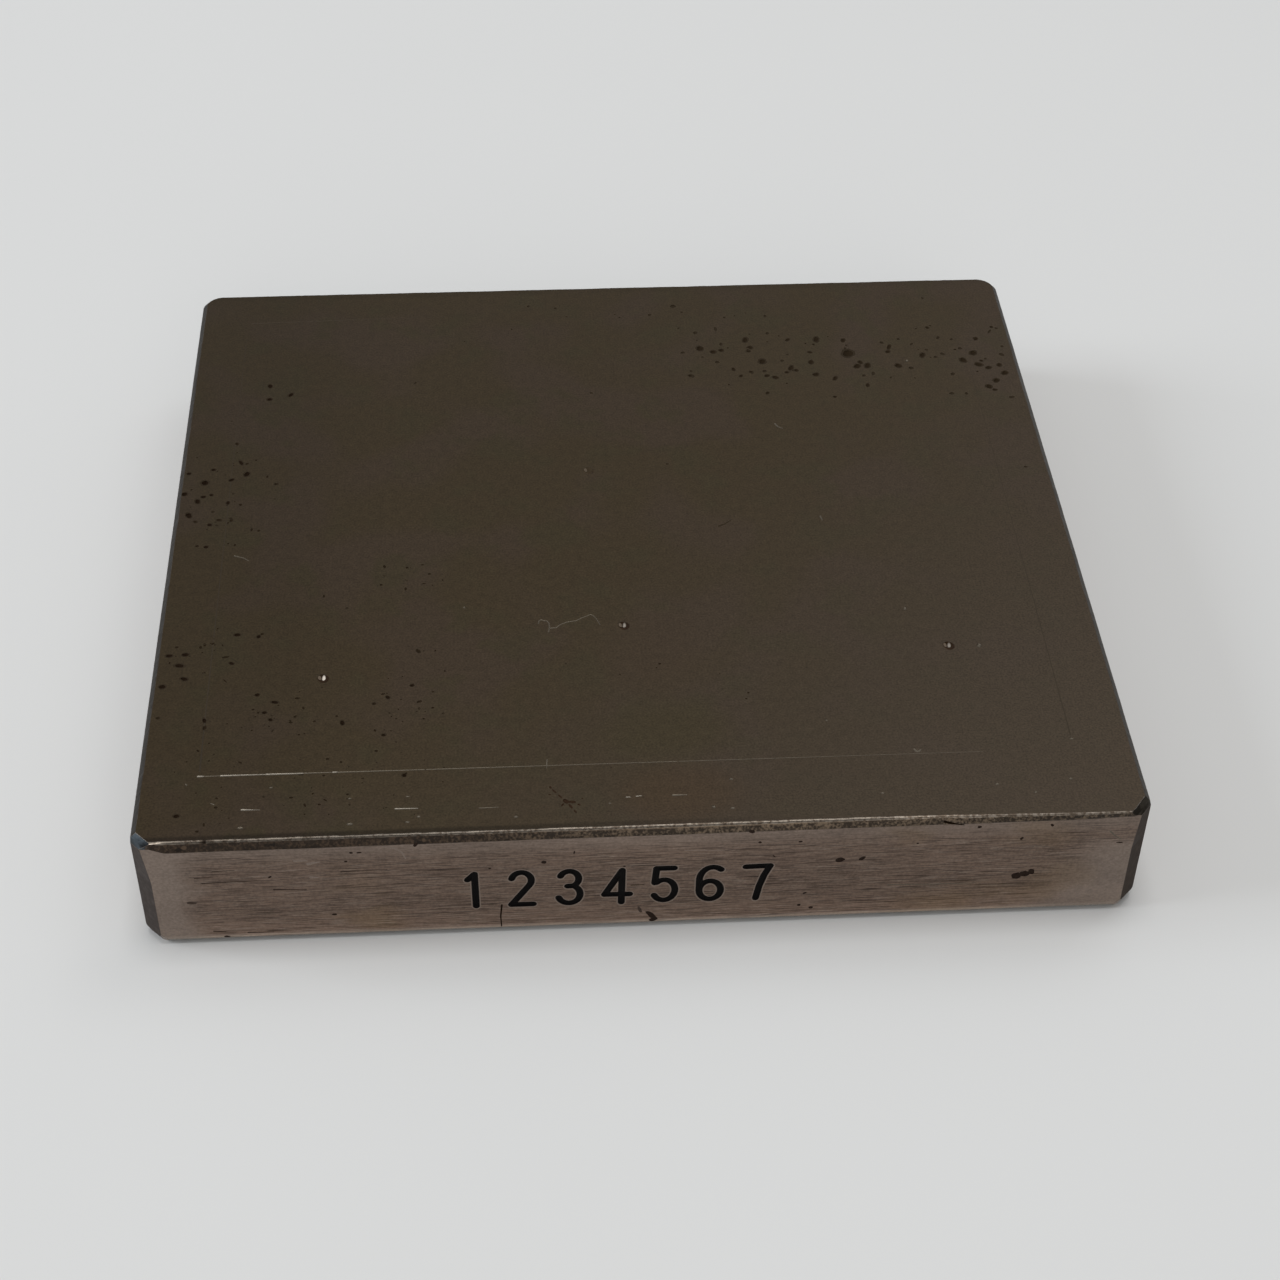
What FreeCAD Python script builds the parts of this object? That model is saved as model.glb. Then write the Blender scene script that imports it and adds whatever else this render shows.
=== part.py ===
"""Hardness test block: a ground steel plate with clipped corners and four cone indents in its lapped top face.

Millimetres, +Z up. The origin is the middle of the underside. The front, which carries the stamped number on
the real block, faces -Y. The block was made as one piece: a plate is sawn from bar, its four upright corners
are clipped, its corners and edges are bevelled, and the lapped face is then indented with a diamond cone.
"""
import FreeCAD, Part
import math
import os
import Sketcher
from FreeCAD import Vector

NODE = "test_block"

SIZES = {
    "block_width": 50.8,
    "block_depth": 48.0,
    "block_height": 7.2,
    "corner_clip": 0.82,
    "corner_bevel": 0.48,
    "front_chamfer": 0.38,
    "side_chamfer": 0.28,
    "foot_chamfer": 0.3,
    "cone_angle": 120.0,
    "cone_tip_radius": 0.2,
    "indent_diameter": 0.48,
    "cutter_rise": 0.1,
    "left_indent_from_side": 8.98,
    "left_indent_from_front": 11.74,
    "right_indent_from_side": 8.46,
    "right_indent_from_front": 12.75,
    "near_indent_off_centre": -0.39,
    "near_indent_from_front": 15.17,
    "far_indent_off_centre": -1.71,
    "far_indent_from_back": 19.2,
}

INDENT_PLACES = {
    "left_indent": (
        "sizes.left_indent_from_side - sizes.block_width / 2",
        "sizes.left_indent_from_front - sizes.block_depth / 2",
    ),
    "right_indent": (
        "sizes.block_width / 2 - sizes.right_indent_from_side",
        "sizes.right_indent_from_front - sizes.block_depth / 2",
    ),
    "near_indent": (
        "sizes.near_indent_off_centre",
        "sizes.near_indent_from_front - sizes.block_depth / 2",
    ),
    "far_indent": (
        "sizes.far_indent_off_centre",
        "sizes.block_depth / 2 - sizes.far_indent_from_back",
    ),
}


def make_sheet(doc):
    """Puts the driving sizes in a spreadsheet, one row each, and names each cell."""
    sheet = doc.addObject("Spreadsheet::Sheet", "sizes")
    for row, (name, value) in enumerate(SIZES.items(), start=1):
        sheet.set(f"A{row}", name)
        sheet.set(f"B{row}", str(value))
        sheet.setAlias(f"B{row}", name)
    doc.recompute()
    return sheet


def origin_plane(body, role):
    """Returns one of the body's own origin planes."""
    return next(plane for plane in body.Origin.OriginFeatures if plane.Role == role)


def add_datum(sketch, name, constraint, expression):
    """Adds a named dimension to the sketch and ties it to the sheet."""
    index = sketch.addConstraint(constraint)
    sketch.renameConstraint(index, name)
    sketch.setExpression(f"Constraints.{name}", expression)


def add_plate(body, sheet):
    """Pads the plate from a rectangle that is centred on the origin."""
    half_width, half_depth = sheet.block_width / 2, sheet.block_depth / 2
    sketch = body.newObject("Sketcher::SketchObject", "plate_outline")
    sketch.AttachmentSupport = (origin_plane(body, "XY_Plane"), [""])
    sketch.MapMode = "FlatFace"
    corners = [
        Vector(-half_width, -half_depth, 0),
        Vector(half_width, -half_depth, 0),
        Vector(half_width, half_depth, 0),
        Vector(-half_width, half_depth, 0),
    ]
    for start, end in zip(corners, corners[1:] + corners[:1]):
        sketch.addGeometry(Part.LineSegment(start, end), False)
    front, right, back, left = range(4)
    for side, following in ((front, right), (right, back), (back, left), (left, front)):
        sketch.addConstraint(Sketcher.Constraint("Coincident", side, 2, following, 1))
    for side in (front, back):
        sketch.addConstraint(Sketcher.Constraint("Horizontal", side))
    for side in (right, left):
        sketch.addConstraint(Sketcher.Constraint("Vertical", side))
    sketch.addConstraint(Sketcher.Constraint("Symmetric", front, 1, back, 1, -1, 1))
    width = Sketcher.Constraint("DistanceX", front, 1, front, 2, 2 * half_width)
    depth = Sketcher.Constraint("DistanceY", right, 1, right, 2, 2 * half_depth)
    add_datum(sketch, "width", width, "sizes.block_width")
    add_datum(sketch, "depth", depth, "sizes.block_depth")
    plate = body.newObject("PartDesign::Pad", "plate")
    plate.Profile = sketch
    plate.setExpression("Length", "sizes.block_height")
    return plate


def edge_names(feature, wanted):
    """Names the edges of the feature's solid that the test picks, given each edge's middle and direction."""
    names = []
    for number, edge in enumerate(feature.Shape.Edges, start=1):
        middle = edge.valueAt((edge.FirstParameter + edge.LastParameter) / 2)
        direction = edge.tangentAt(edge.FirstParameter)
        if wanted(middle, direction):
            names.append(f"Edge{number}")
    return names


def add_chamfer(body, name, base, wanted, size_name):
    """Cuts an equal-legged chamfer along the picked edges of the feature before it."""
    chamfer = body.newObject("PartDesign::Chamfer", name)
    chamfer.Base = (base, edge_names(base, wanted))
    chamfer.setExpression("Size", f"sizes.{size_name}")
    body.Document.recompute()
    return chamfer


def add_edge_cuts(body, plate, sheet):
    """Clips the upright corners, bevels the clips at both ends, then chamfers the long edges."""
    half_height = sheet.block_height / 2

    def upright(middle, direction):
        return abs(direction.z) > 0.99

    def across_corner(middle, direction):
        return abs(direction.z) < 0.01 and abs(abs(direction.x) - abs(direction.y)) < 0.01

    def end_of_clip(middle, direction):
        at_an_end = abs(abs(middle.z - half_height) - half_height) < 0.001
        return across_corner(middle, direction) and at_an_end

    def front_or_back_top_edge(middle, direction):
        return abs(direction.x) > 0.99 and middle.z > half_height

    def side_top_edge(middle, direction):
        return abs(direction.y) > 0.99 and middle.z > half_height

    def long_foot_edge(middle, direction):
        return max(abs(direction.x), abs(direction.y)) > 0.99 and middle.z < half_height

    clipped = add_chamfer(body, "corner_clips", plate, upright, "corner_clip")
    bevelled = add_chamfer(body, "corner_bevels", clipped, end_of_clip, "corner_bevel")
    fronted = add_chamfer(body, "front_chamfers", bevelled, front_or_back_top_edge, "front_chamfer")
    sided = add_chamfer(body, "side_chamfers", fronted, side_top_edge, "side_chamfer")
    return add_chamfer(body, "foot_chamfers", sided, long_foot_edge, "foot_chamfer")


def draw_cone(sketch, sheet):
    """Draws half the diamond's section: a cone with a ball nose, standing on the sketch's upright axis.

    The sketch's horizontal axis lies in the lapped face, so the flank crosses it at the indent's rim.
    """
    half_angle = math.radians(sheet.cone_angle / 2)
    radius, rise, rim = sheet.cone_tip_radius, sheet.cutter_rise, sheet.indent_diameter / 2
    nose_edge = radius * math.cos(half_angle)
    centre_height = radius * math.sin(half_angle) - (rim - nose_edge) / math.tan(half_angle)
    upper_corner = Vector(rim + rise * math.tan(half_angle), rise, 0)
    nose_end = Vector(nose_edge, centre_height - radius * math.sin(half_angle), 0)
    nose_tip = Vector(0, centre_height - radius, 0)
    nose_circle = Part.Circle(Vector(0, centre_height, 0), Vector(0, 0, 1), radius)
    nose = sketch.addGeometry(Part.ArcOfCircle(nose_circle, -math.pi / 2, -half_angle), False)
    flank = sketch.addGeometry(Part.LineSegment(nose_end, upper_corner), False)
    top = sketch.addGeometry(Part.LineSegment(upper_corner, Vector(0, rise, 0)), False)
    middle = sketch.addGeometry(Part.LineSegment(Vector(0, rise, 0), nose_tip), False)
    rim_point = sketch.addGeometry(Part.Point(Vector(rim, 0, 0)), True)
    horizontal_axis, upright_axis = -1, -2
    for rule in (
        Sketcher.Constraint("PointOnObject", nose, 3, upright_axis),
        Sketcher.Constraint("PointOnObject", nose, 1, upright_axis),
        Sketcher.Constraint("Tangent", nose, 2, flank, 1),
        Sketcher.Constraint("Coincident", flank, 2, top, 1),
        Sketcher.Constraint("Horizontal", top),
        Sketcher.Constraint("Coincident", top, 2, middle, 1),
        Sketcher.Constraint("PointOnObject", top, 2, upright_axis),
        Sketcher.Constraint("Coincident", middle, 2, nose, 1),
        Sketcher.Constraint("PointOnObject", rim_point, 1, flank),
        Sketcher.Constraint("PointOnObject", rim_point, 1, horizontal_axis),
    ):
        sketch.addConstraint(rule)
    slope = Sketcher.Constraint("Angle", flank, math.pi / 2 - half_angle)
    ball = Sketcher.Constraint("Radius", nose, radius)
    reach = Sketcher.Constraint("DistanceX", horizontal_axis, 1, rim_point, 1, rim)
    height = Sketcher.Constraint("DistanceY", horizontal_axis, 1, top, 1, rise)
    add_datum(sketch, "slope", slope, "90 - sizes.cone_angle / 2")
    add_datum(sketch, "ball", ball, "sizes.cone_tip_radius")
    add_datum(sketch, "reach", reach, "sizes.indent_diameter / 2")
    add_datum(sketch, "rise", height, "sizes.cutter_rise")


def add_indent(body, name, across, along, sheet):
    """Presses one cone into the lapped face: a groove about an upright axis at the given place."""
    sketch = body.newObject("Sketcher::SketchObject", f"{name}_section")
    sketch.AttachmentSupport = (origin_plane(body, "XZ_Plane"), [""])
    sketch.MapMode = "FlatFace"
    sketch.setExpression("AttachmentOffset.Base.x", across)
    sketch.setExpression("AttachmentOffset.Base.y", "sizes.block_height")
    sketch.setExpression("AttachmentOffset.Base.z", f"-({along})")
    draw_cone(sketch, sheet)
    before = body.Tip.Shape.Volume
    indent = body.newObject("PartDesign::Groove", name)
    indent.Profile = sketch
    indent.ReferenceAxis = (sketch, ["V_Axis"])
    indent.Angle = 360.0
    body.Document.recompute()
    if not indent.Shape.Volume < before:
        raise RuntimeError(f"{name} cuts nothing")
    return indent


def make_block(doc, sheet):
    """Builds the whole block in one body: the plate, its edge cuts, then the four indents."""
    body = doc.addObject("PartDesign::Body", NODE)
    body.Label = NODE
    plate = add_plate(body, sheet)
    doc.recompute()
    add_edge_cuts(body, plate, sheet)
    for name, (across, along) in INDENT_PLACES.items():
        add_indent(body, name, across, along, sheet)
    return body


def check(doc, body):
    """Stops if any object failed to build, or if the block isn't one sound solid."""
    for item in doc.Objects:
        if "Invalid" in item.State or "Error" in item.State:
            raise RuntimeError(f"{item.Name} failed: {item.State}")
    if body.Shape.isNull() or not body.Shape.isValid() or len(body.Shape.Solids) != 1:
        raise RuntimeError(f"{body.Label} is not one sound solid")


def main():
    """Makes the document and writes the block to its STEP file."""
    doc = FreeCAD.newDocument("hardness_test_block")
    sheet = make_sheet(doc)
    block = make_block(doc, sheet)
    doc.recompute()
    check(doc, block)
    os.makedirs("parts", exist_ok=True)
    block.Shape.exportStep(f"parts/{block.Label}.step")
    box = block.Shape.BoundBox
    print(f"{block.Label}: {box.XLength:.3f} x {box.YLength:.3f} x {box.ZLength:.3f} mm, "
          f"{block.Shape.Volume:.2f} mm3, {len(block.Shape.Faces)} faces")


main()
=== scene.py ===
"""Looks of a hardness test block: a lapped, indented and rust-pitted steel plate with ground, stamped sides.

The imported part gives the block's box, and everything is built in its frame, in metres. Places and sizes of
the marks are written in millimetres on the face that they lie in, and are scaled as they are placed. The
front is at -Y and carries a row of plain figures.
"""

import logging
import math
import random
from collections.abc import Callable, Iterator, Sequence
from contextlib import contextmanager
from dataclasses import dataclass, field, replace
from enum import Enum
from typing import Any

import bpy
from mathutils import Matrix, Vector, noise

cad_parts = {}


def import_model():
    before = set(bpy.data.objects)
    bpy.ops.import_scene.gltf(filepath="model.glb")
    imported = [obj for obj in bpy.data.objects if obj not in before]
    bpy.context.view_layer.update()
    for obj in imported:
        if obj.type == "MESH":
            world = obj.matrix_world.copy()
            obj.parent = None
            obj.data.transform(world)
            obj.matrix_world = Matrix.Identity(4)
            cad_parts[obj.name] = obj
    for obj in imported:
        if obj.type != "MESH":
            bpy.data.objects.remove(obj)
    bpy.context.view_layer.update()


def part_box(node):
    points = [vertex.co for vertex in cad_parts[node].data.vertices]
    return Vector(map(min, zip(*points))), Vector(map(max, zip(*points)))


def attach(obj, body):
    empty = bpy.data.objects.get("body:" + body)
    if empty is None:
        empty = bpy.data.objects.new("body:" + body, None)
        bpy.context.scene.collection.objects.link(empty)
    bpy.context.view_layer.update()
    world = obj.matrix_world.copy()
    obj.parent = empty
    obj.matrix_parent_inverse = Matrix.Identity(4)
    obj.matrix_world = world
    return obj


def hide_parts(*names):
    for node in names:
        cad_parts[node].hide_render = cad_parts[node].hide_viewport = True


MM = 0.001
WELD = 1e-7
NODE = "test_block"
BODY = "root"
PHOTO_PIXELS = 1280

log = logging.getLogger("test_block")

Colour = tuple[float, float, float]
Point = tuple[float, float]


def tone(red: int, green: int, blue: int) -> Colour:
    """Turns a screen colour into the linear one that a shader takes.

    Args:
        red: Screen red, 0 to 255.
        green: Screen green, 0 to 255.
        blue: Screen blue, 0 to 255.

    Returns:
        The linear colour.
    """
    def linear(level: int) -> float:
        """Undoes the screen's curve for one channel."""
        share = level / 255
        return share / 12.92 if share <= 0.04045 else ((share + 0.055) / 1.055) ** 2.4

    return linear(red), linear(green), linear(blue)


@dataclass(frozen=True)
class Signal:
    """A number that varies over a surface, with the arithmetic that the finishes use."""

    graph: "Graph"
    socket: bpy.types.NodeSocket

    def __add__(self, other: "Signal | float") -> "Signal":
        """Adds."""
        return self.graph.math("ADD", self, other)

    def __sub__(self, other: "Signal | float") -> "Signal":
        """Subtracts."""
        return self.graph.math("SUBTRACT", self, other)

    def __rsub__(self, other: float) -> "Signal":
        """Subtracts from a plain number."""
        return self.graph.math("SUBTRACT", other, self)

    def __mul__(self, other: "Signal | float") -> "Signal":
        """Multiplies."""
        return self.graph.math("MULTIPLY", self, other)

    def __truediv__(self, other: "Signal | float") -> "Signal":
        """Divides."""
        return self.graph.math("DIVIDE", self, other)

    def __pow__(self, other: "Signal | float") -> "Signal":
        """Raises to a power."""
        return self.graph.math("POWER", self, other)

    def __abs__(self) -> "Signal":
        """Drops the sign."""
        return self.graph.math("ABSOLUTE", self, 0.0)

    __radd__ = __add__
    __rmul__ = __mul__


class Graph:
    """The node tree of one material, written as expressions on signals."""

    def __init__(self, name: str) -> None:
        """Starts a material.

        Args:
            name: The material's name.
        """
        self.material = bpy.data.materials.new(name)
        self.material.use_nodes = True
        self.tree = self.material.node_tree
        self.shader = self.tree.nodes["Principled BSDF"]
        self.place = self.node("ShaderNodeTexCoord").outputs["Object"]
        split = self.node("ShaderNodeSeparateXYZ", inputs={"Vector": self.place})
        self.x, self.y, self.z = (Signal(self, split.outputs[axis]) * (1 / MM) for axis in "XYZ")

    def node(self, kind: str, settings: dict[str, Any] | None = None,
             inputs: dict[str | int, Any] | None = None) -> bpy.types.Node:
        """Adds one node.

        Args:
            kind: The node's type name.
            settings: Its settings by name, set first.
            inputs: A value, socket or signal for each named or numbered input.

        Returns:
            The node.
        """
        made = self.tree.nodes.new(kind)
        for name, value in (settings or {}).items():
            setattr(made, name, value)
        for name, value in (inputs or {}).items():
            self.feed(made.inputs[name], value)
        return made

    def feed(self, target: bpy.types.NodeSocket, value: Any) -> None:
        """Links a signal or socket to an input, or sets the input's own value.

        Args:
            target: The input socket.
            value: A signal, a socket, a number, a vector or a linear colour.
        """
        if isinstance(value, Signal):
            self.tree.links.new(value.socket, target)
        elif isinstance(value, bpy.types.NodeSocket):
            self.tree.links.new(value, target)
        elif target.type == "RGBA":
            target.default_value = (*value, 1.0)
        else:
            target.default_value = value

    def math(self, operation: str, first: Signal | float, second: Signal | float) -> Signal:
        """Adds one Math node.

        Args:
            operation: The node's operation.
            first: Its first operand.
            second: Its second operand.

        Returns:
            The result.
        """
        made = self.node("ShaderNodeMath", {"operation": operation}, {0: first, 1: second})
        return Signal(self, made.outputs[0])

    def ramp(self, signal: Signal, start: float, end: float) -> Signal:
        """Rises smoothly from 0 to 1 between two levels of a signal, or falls if start is above end.

        Args:
            signal: What is looked at.
            start: The level that gives 0.
            end: The level that gives 1.

        Returns:
            A mask from 0 to 1.
        """
        low, high = min(start, end), max(start, end)
        ends = (0.0, 1.0) if start < end else (1.0, 0.0)
        made = self.node(
            "ShaderNodeMapRange", {"interpolation_type": "SMOOTHSTEP"},
            {"Value": signal, "From Min": low, "From Max": high, "To Min": ends[0], "To Max": ends[1]},
        )
        return Signal(self, made.outputs["Result"])

    def grain(self, size: tuple[float, float, float], detail: float = 2.0, seed: float = 0.0) -> Signal:
        """Makes noise whose lumps have the given size along X, Y and Z.

        Args:
            size: The lumps' size in millimetres along each axis.
            detail: How many finer layers are added.
            seed: A shift in lumps, which gives another pattern.

        Returns:
            The noise, about 0.5 on average.
        """
        scale = tuple(1 / (MM * length) for length in size)
        shift = (seed, seed * 0.7, seed * 1.3)
        spread = self.node(
            "ShaderNodeMapping", inputs={"Vector": self.place, "Scale": scale, "Location": shift}
        )
        made = self.node(
            "ShaderNodeTexNoise", {"noise_dimensions": "3D"},
            {"Vector": spread.outputs["Vector"], "Scale": 1.0, "Detail": detail, "Roughness": 0.55},
        )
        return Signal(self, made.outputs[0])

    def spot(self, across: float, along: float, reach: Point, up: Signal | None = None) -> Signal:
        """Makes a soft oval mask on a face, 1 in its middle.

        Args:
            across: The middle's X in millimetres.
            along: The middle's second coordinate in millimetres.
            reach: The oval's half sizes in millimetres.
            up: The second coordinate, Y if none is given.

        Returns:
            The mask.
        """
        second = self.y if up is None else up
        far = ((self.x - across) / reach[0]) ** 2.0 + ((second - along) / reach[1]) ** 2.0
        return self.ramp(far, 1.0, 0.0)

    def blend(self, share: Signal | float, first: Any, second: Any) -> bpy.types.NodeSocket:
        """Mixes two colours.

        Args:
            share: How much of the second there is, 0 to 1.
            first: A linear colour or a colour socket.
            second: A linear colour or a colour socket.

        Returns:
            The mixed colour.
        """
        made = self.node("ShaderNodeMix", {"data_type": "RGBA", "clamp_factor": True}, {0: share})
        self.feed(made.inputs[6], first)
        self.feed(made.inputs[7], second)
        return made.outputs[2]

    def shade(self, colour: Any, level: Signal) -> bpy.types.NodeSocket:
        """Makes a colour lighter or darker by a signal.

        Args:
            colour: A linear colour or a colour socket.
            level: The factor, 1 for no change.

        Returns:
            The scaled colour.
        """
        made = self.node("ShaderNodeVectorMath", {"operation": "SCALE"}, {0: colour, "Scale": level})
        return made.outputs[0]

    def tint(self, colour: Any, factor: Any) -> bpy.types.NodeSocket:
        """Multiplies one colour by another.

        Args:
            colour: A linear colour or a colour socket.
            factor: A linear colour or a colour socket.

        Returns:
            The tinted colour.
        """
        made = self.node("ShaderNodeVectorMath", {"operation": "MULTIPLY"}, {0: colour, 1: factor})
        return made.outputs[0]

    def relief(self, height: Signal, depth: float) -> None:
        """Roughens the surface by a bump.

        Args:
            height: The relief, 0 to 1.
            depth: What 1 stands for, in millimetres.
        """
        made = self.node("ShaderNodeBump", inputs={"Height": height, "Distance": depth * MM, "Strength": 1.0})
        self.feed(self.shader.inputs["Normal"], made.outputs["Normal"])

    def dress(self, **values: Any) -> bpy.types.Material:
        """Sets the shader's sockets and ends the material.

        Args:
            **values: Socket names with spaces as underscores, and their values.

        Returns:
            The finished material.
        """
        for name, value in values.items():
            self.feed(self.shader.inputs[name.replace("_", " ")], value)
        return self.material


class Finish(Enum):
    """The finishes found on the block, each named for its material."""

    LAPPED = "lapped_face"
    FRONT = "ground_front"
    REAR = "ground_rear"
    ENDS = "ground_ends"
    UNDERSIDE = "ground_underside"
    CHAMFER = "rough_chamfer"
    SIDE_CHAMFER = "side_chamfer"
    CORNER = "corner_grind"
    BEVEL = "corner_bevel"
    STRIP = "burnished_strip_and_highlight"
    EDGE = "worn_edge"
    FOOT_RIM = "painted_highlight_foot_rim"
    GLINT = "painted_glint_bevel_rim"
    TRACE = "faint_trace"
    RUST = "rust_pit"
    FAINT = "faint_pit"
    STAMP = "stamp_floor"
    LIP = "stamp_lip"
    BRIGHT = "bright_cut"
    DULL = "dull_cut"
    OLD_RUST = "old_rust_pit"
    STAIN = "brown_stain"
    KNOCK = "dark_knock"
    SCUFF = "faint_knock"
    CONE = "cone_indent"


@dataclass(frozen=True)
class Indent:
    """One mark of the diamond: its place on the test face in millimetres, and the strengths of its painted
    highlight and painted shade, 0 to 1.
    """

    across: float
    along: float
    painted_gleam: float
    painted_shade: float = 1.0


INDENTS = (
    Indent(-16.42, -12.26, 0.9),
    Indent(16.94, -11.25, 0.38),
    Indent(-0.39, -8.83, 0.4),
    Indent(-1.71, 4.8, 0.0, 0.45),
)


@dataclass(frozen=True)
class LappedSteel:
    """The test face: dull olive-brown steel, lapped fine, with faint heat and oil tints, painted shade beside
    the indents, and painted light that makes it lighter towards the front right and darker at the left and
    back.
    """

    base: Colour = tone(73, 61, 43)
    violet: Colour = tone(75, 62, 48)
    green: Colour = tone(71, 62, 43)
    umber: Colour = tone(79, 62, 44)
    painted_shade: Colour = tone(42, 25, 8)
    painted_light_tone: Colour = tone(74, 64, 53)
    strip_shadow: float = 0.45

    def make(self) -> bpy.types.Material:
        """Makes the material."""
        graph = Graph(Finish.LAPPED.value)
        drift = graph.grain((7.0, 7.0, 7.0), detail=1.0)
        patch = graph.grain((2.6, 2.6, 2.6), detail=2.0, seed=3.0)
        colour = graph.blend(graph.ramp(drift, 0.45, 0.62), self.base, self.violet)
        colour = graph.blend(graph.ramp(patch, 0.5, 0.68) * 0.7, colour, self.green)
        # Painted light: the face turns lighter and cooler towards the front right, where more light falls.
        painted_light_front_right = graph.ramp(graph.x - graph.y, -4.0, 40.0)
        colour = graph.blend(painted_light_front_right * 0.8, colour, self.painted_light_tone)
        colour = graph.blend(graph.spot(1.5, -17.0, (4.5, 3.0)) * 0.8, colour, self.green)
        colour = graph.blend(graph.spot(1.8, -21.5, (4.0, 2.6)) * 0.5, colour, self.umber)
        colour = graph.blend(graph.spot(1.2, -11.0, (3.5, 4.0)) * 0.7, colour, self.violet)
        fine = graph.grain((0.11, 0.11, 0.11), detail=1.0, seed=5.0)
        coarse = graph.grain((0.45, 0.45, 0.45), detail=2.0, seed=7.0)
        level = 1.0 + (fine - 0.5) * 1.0 + (coarse - 0.5) * 0.3
        # Painted shade: a dark warm crescent on the lower right of each indent's rim, the rim's slope that
        # faces away from the light.
        for indent in INDENTS:
            middle = (indent.across + 0.07, indent.along - 0.08)
            painted_shade_crescent = graph.spot(*middle, (0.36, 0.38)) * 1.6 * indent.painted_shade
            colour = graph.blend(graph.ramp(painted_shade_crescent, 0.0, 1.0), colour, self.painted_shade)
        behind_strip = graph.ramp(graph.y, -23.25, -23.47) * graph.ramp(graph.x, 14.0, -12.0)
        level = level * (1.0 - behind_strip * self.strip_shadow)
        # Painted shade: the face is darker towards the left end and along the back.
        painted_shade_left = graph.ramp(graph.x, -13.0, -20.0) * 0.09
        painted_shade_back = graph.ramp(graph.y, 22.8, 23.5) * 0.1
        level = level * (1.0 - painted_shade_left - painted_shade_back)
        graph.relief(fine, 0.0012)
        return graph.dress(
            Base_Color=graph.shade(colour, level), Metallic=0.8, Roughness=0.43 + (coarse - 0.5) * 0.1
        )


@dataclass(frozen=True)
class GroundSteel:
    """A ground side: warm grey steel with fine wheel marks along it and light stains, and on upright sides a
    painted lighter band towards the foot.
    """

    finish: Finish
    runs_along_y: bool = False
    lies_flat: bool = False
    stained: bool = False
    seed: float = 0.0
    base: Colour = tone(113, 95, 83)
    smooth: Colour = tone(128, 114, 104)
    painted_foot_light: Colour = tone(128, 120, 112)
    line: Colour = tone(54, 42, 35)
    streak: Colour = tone(134, 120, 109)
    ochre: Colour = tone(118, 97, 72)
    smooth_from: float = 22.6
    end_softness: float = 0.9
    washes: tuple[tuple[float, float, Point, float], ...] = (
        (-13.9, 1.2, (2.4, 1.9), 0.32),
        (-15.2, 3.0, (3.0, 3.4), 0.15),
        (16.6, 1.0, (5.0, 2.0), 0.3),
        (21.2, 2.4, (2.4, 2.2), 0.3),
        (12.9, 6.3, (1.8, 1.2), 0.4),
        (19.5, 5.8, (2.6, 1.7), 0.3),
    )

    def make(self) -> bpy.types.Material:
        """Makes the material."""
        graph = Graph(self.finish.value)
        run = graph.y if self.runs_along_y else graph.x

        def marks(length: float, width: float, detail: float, seed: float) -> Signal:
            """Makes noise drawn out along the side."""
            size = [width, width, width]
            size[1 if self.runs_along_y else 0] = length
            return graph.grain(tuple(size), detail, seed + self.seed)

        wander = (graph.grain((2.0, 2.0, 1.2), 2.0, 4.0) - 0.5) * 2.5
        soft = self.end_softness
        ends = graph.ramp(abs(run + wander), self.smooth_from + soft, self.smooth_from - soft)
        if self.stained:
            left_end = graph.ramp(run + wander, -self.smooth_from - soft, soft - self.smooth_from)
            right_low = graph.ramp(run + wander * 0.5 + (3.5 - graph.z) * 0.6, 23.6, 20.0)
            right_end = graph.math("MAXIMUM", right_low, graph.ramp(graph.z, 4.6, 5.8))
            ends = left_end * right_end
        body, foot = ends, 0.0
        if not self.lies_flat:
            body = ends * (0.35 + 0.65 * graph.ramp(graph.z, 6.7, 5.4))
            # Painted light: upright sides turn lighter towards the foot, with a brighter line just above the
            # foot chamfer.
            foot = graph.ramp(graph.z, 2.4, 0.6) * 0.5 + graph.ramp(graph.z, 0.65, 0.42) * 0.9
            foot = foot * (0.4 + 0.6 * body)
        patchy = graph.ramp(marks(5.0, 1.6, 2.0, 11.0), 0.36, 0.6)
        dark_lines = graph.ramp(marks(2.4, 0.055, 2.0, 0.0), 0.55, 0.64) * body * (0.3 + 0.7 * patchy)
        thin_lines = graph.ramp(marks(1.1, 0.04, 1.0, 61.0), 0.52, 0.66) * body
        light_lines = graph.ramp(marks(1.4, 0.05, 1.0, 21.0), 0.54, 0.7) * body * 0.7
        colour = graph.blend(body, self.smooth, self.base)
        colour = graph.blend(light_lines, colour, self.streak)
        colour = graph.blend(thin_lines * 0.6, colour, self.line)
        colour = graph.blend(dark_lines * 0.9, colour, self.line)
        if self.stained:
            for across, height, reach, share in self.washes:
                wash = graph.spot(across, height, reach, up=graph.z) * share
                colour = graph.blend(wash * patchy, colour, self.ochre)
        # Painted light: a light grey just above the foot chamfer.
        if not self.lies_flat:
            colour = graph.blend(graph.ramp(graph.z, 0.68, 0.44) * 0.35, colour, self.painted_foot_light)
        fine = marks(0.45, 0.035, 2.0, 31.0)
        cloud = graph.grain((3.2, 3.2, 1.6), 2.0, seed=41.0 + self.seed)
        speck = graph.grain((0.14, 0.14, 0.12), 2.0, seed=43.0 + self.seed)
        level = 1.0 + (fine - 0.5) * 0.9 * (0.3 + 0.7 * body) + (cloud - 0.5) * 0.35 + foot
        level = level + (speck - 0.5) * (0.8 + body * 0.1)
        if self.stained:
            rub = graph.spot(0.0, 5.8, (7.0, 1.6), up=graph.z) * 0.12
            level = level + rub - graph.ramp(graph.x, 18.0, 23.0) * 0.05
        graph.relief(fine * 0.4 + (1.0 - dark_lines) * 0.6, 0.0035)
        return graph.dress(
            Base_Color=graph.shade(colour, level), Metallic=0.8, Roughness=0.4 + (fine - 0.5) * 0.15
        )


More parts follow.
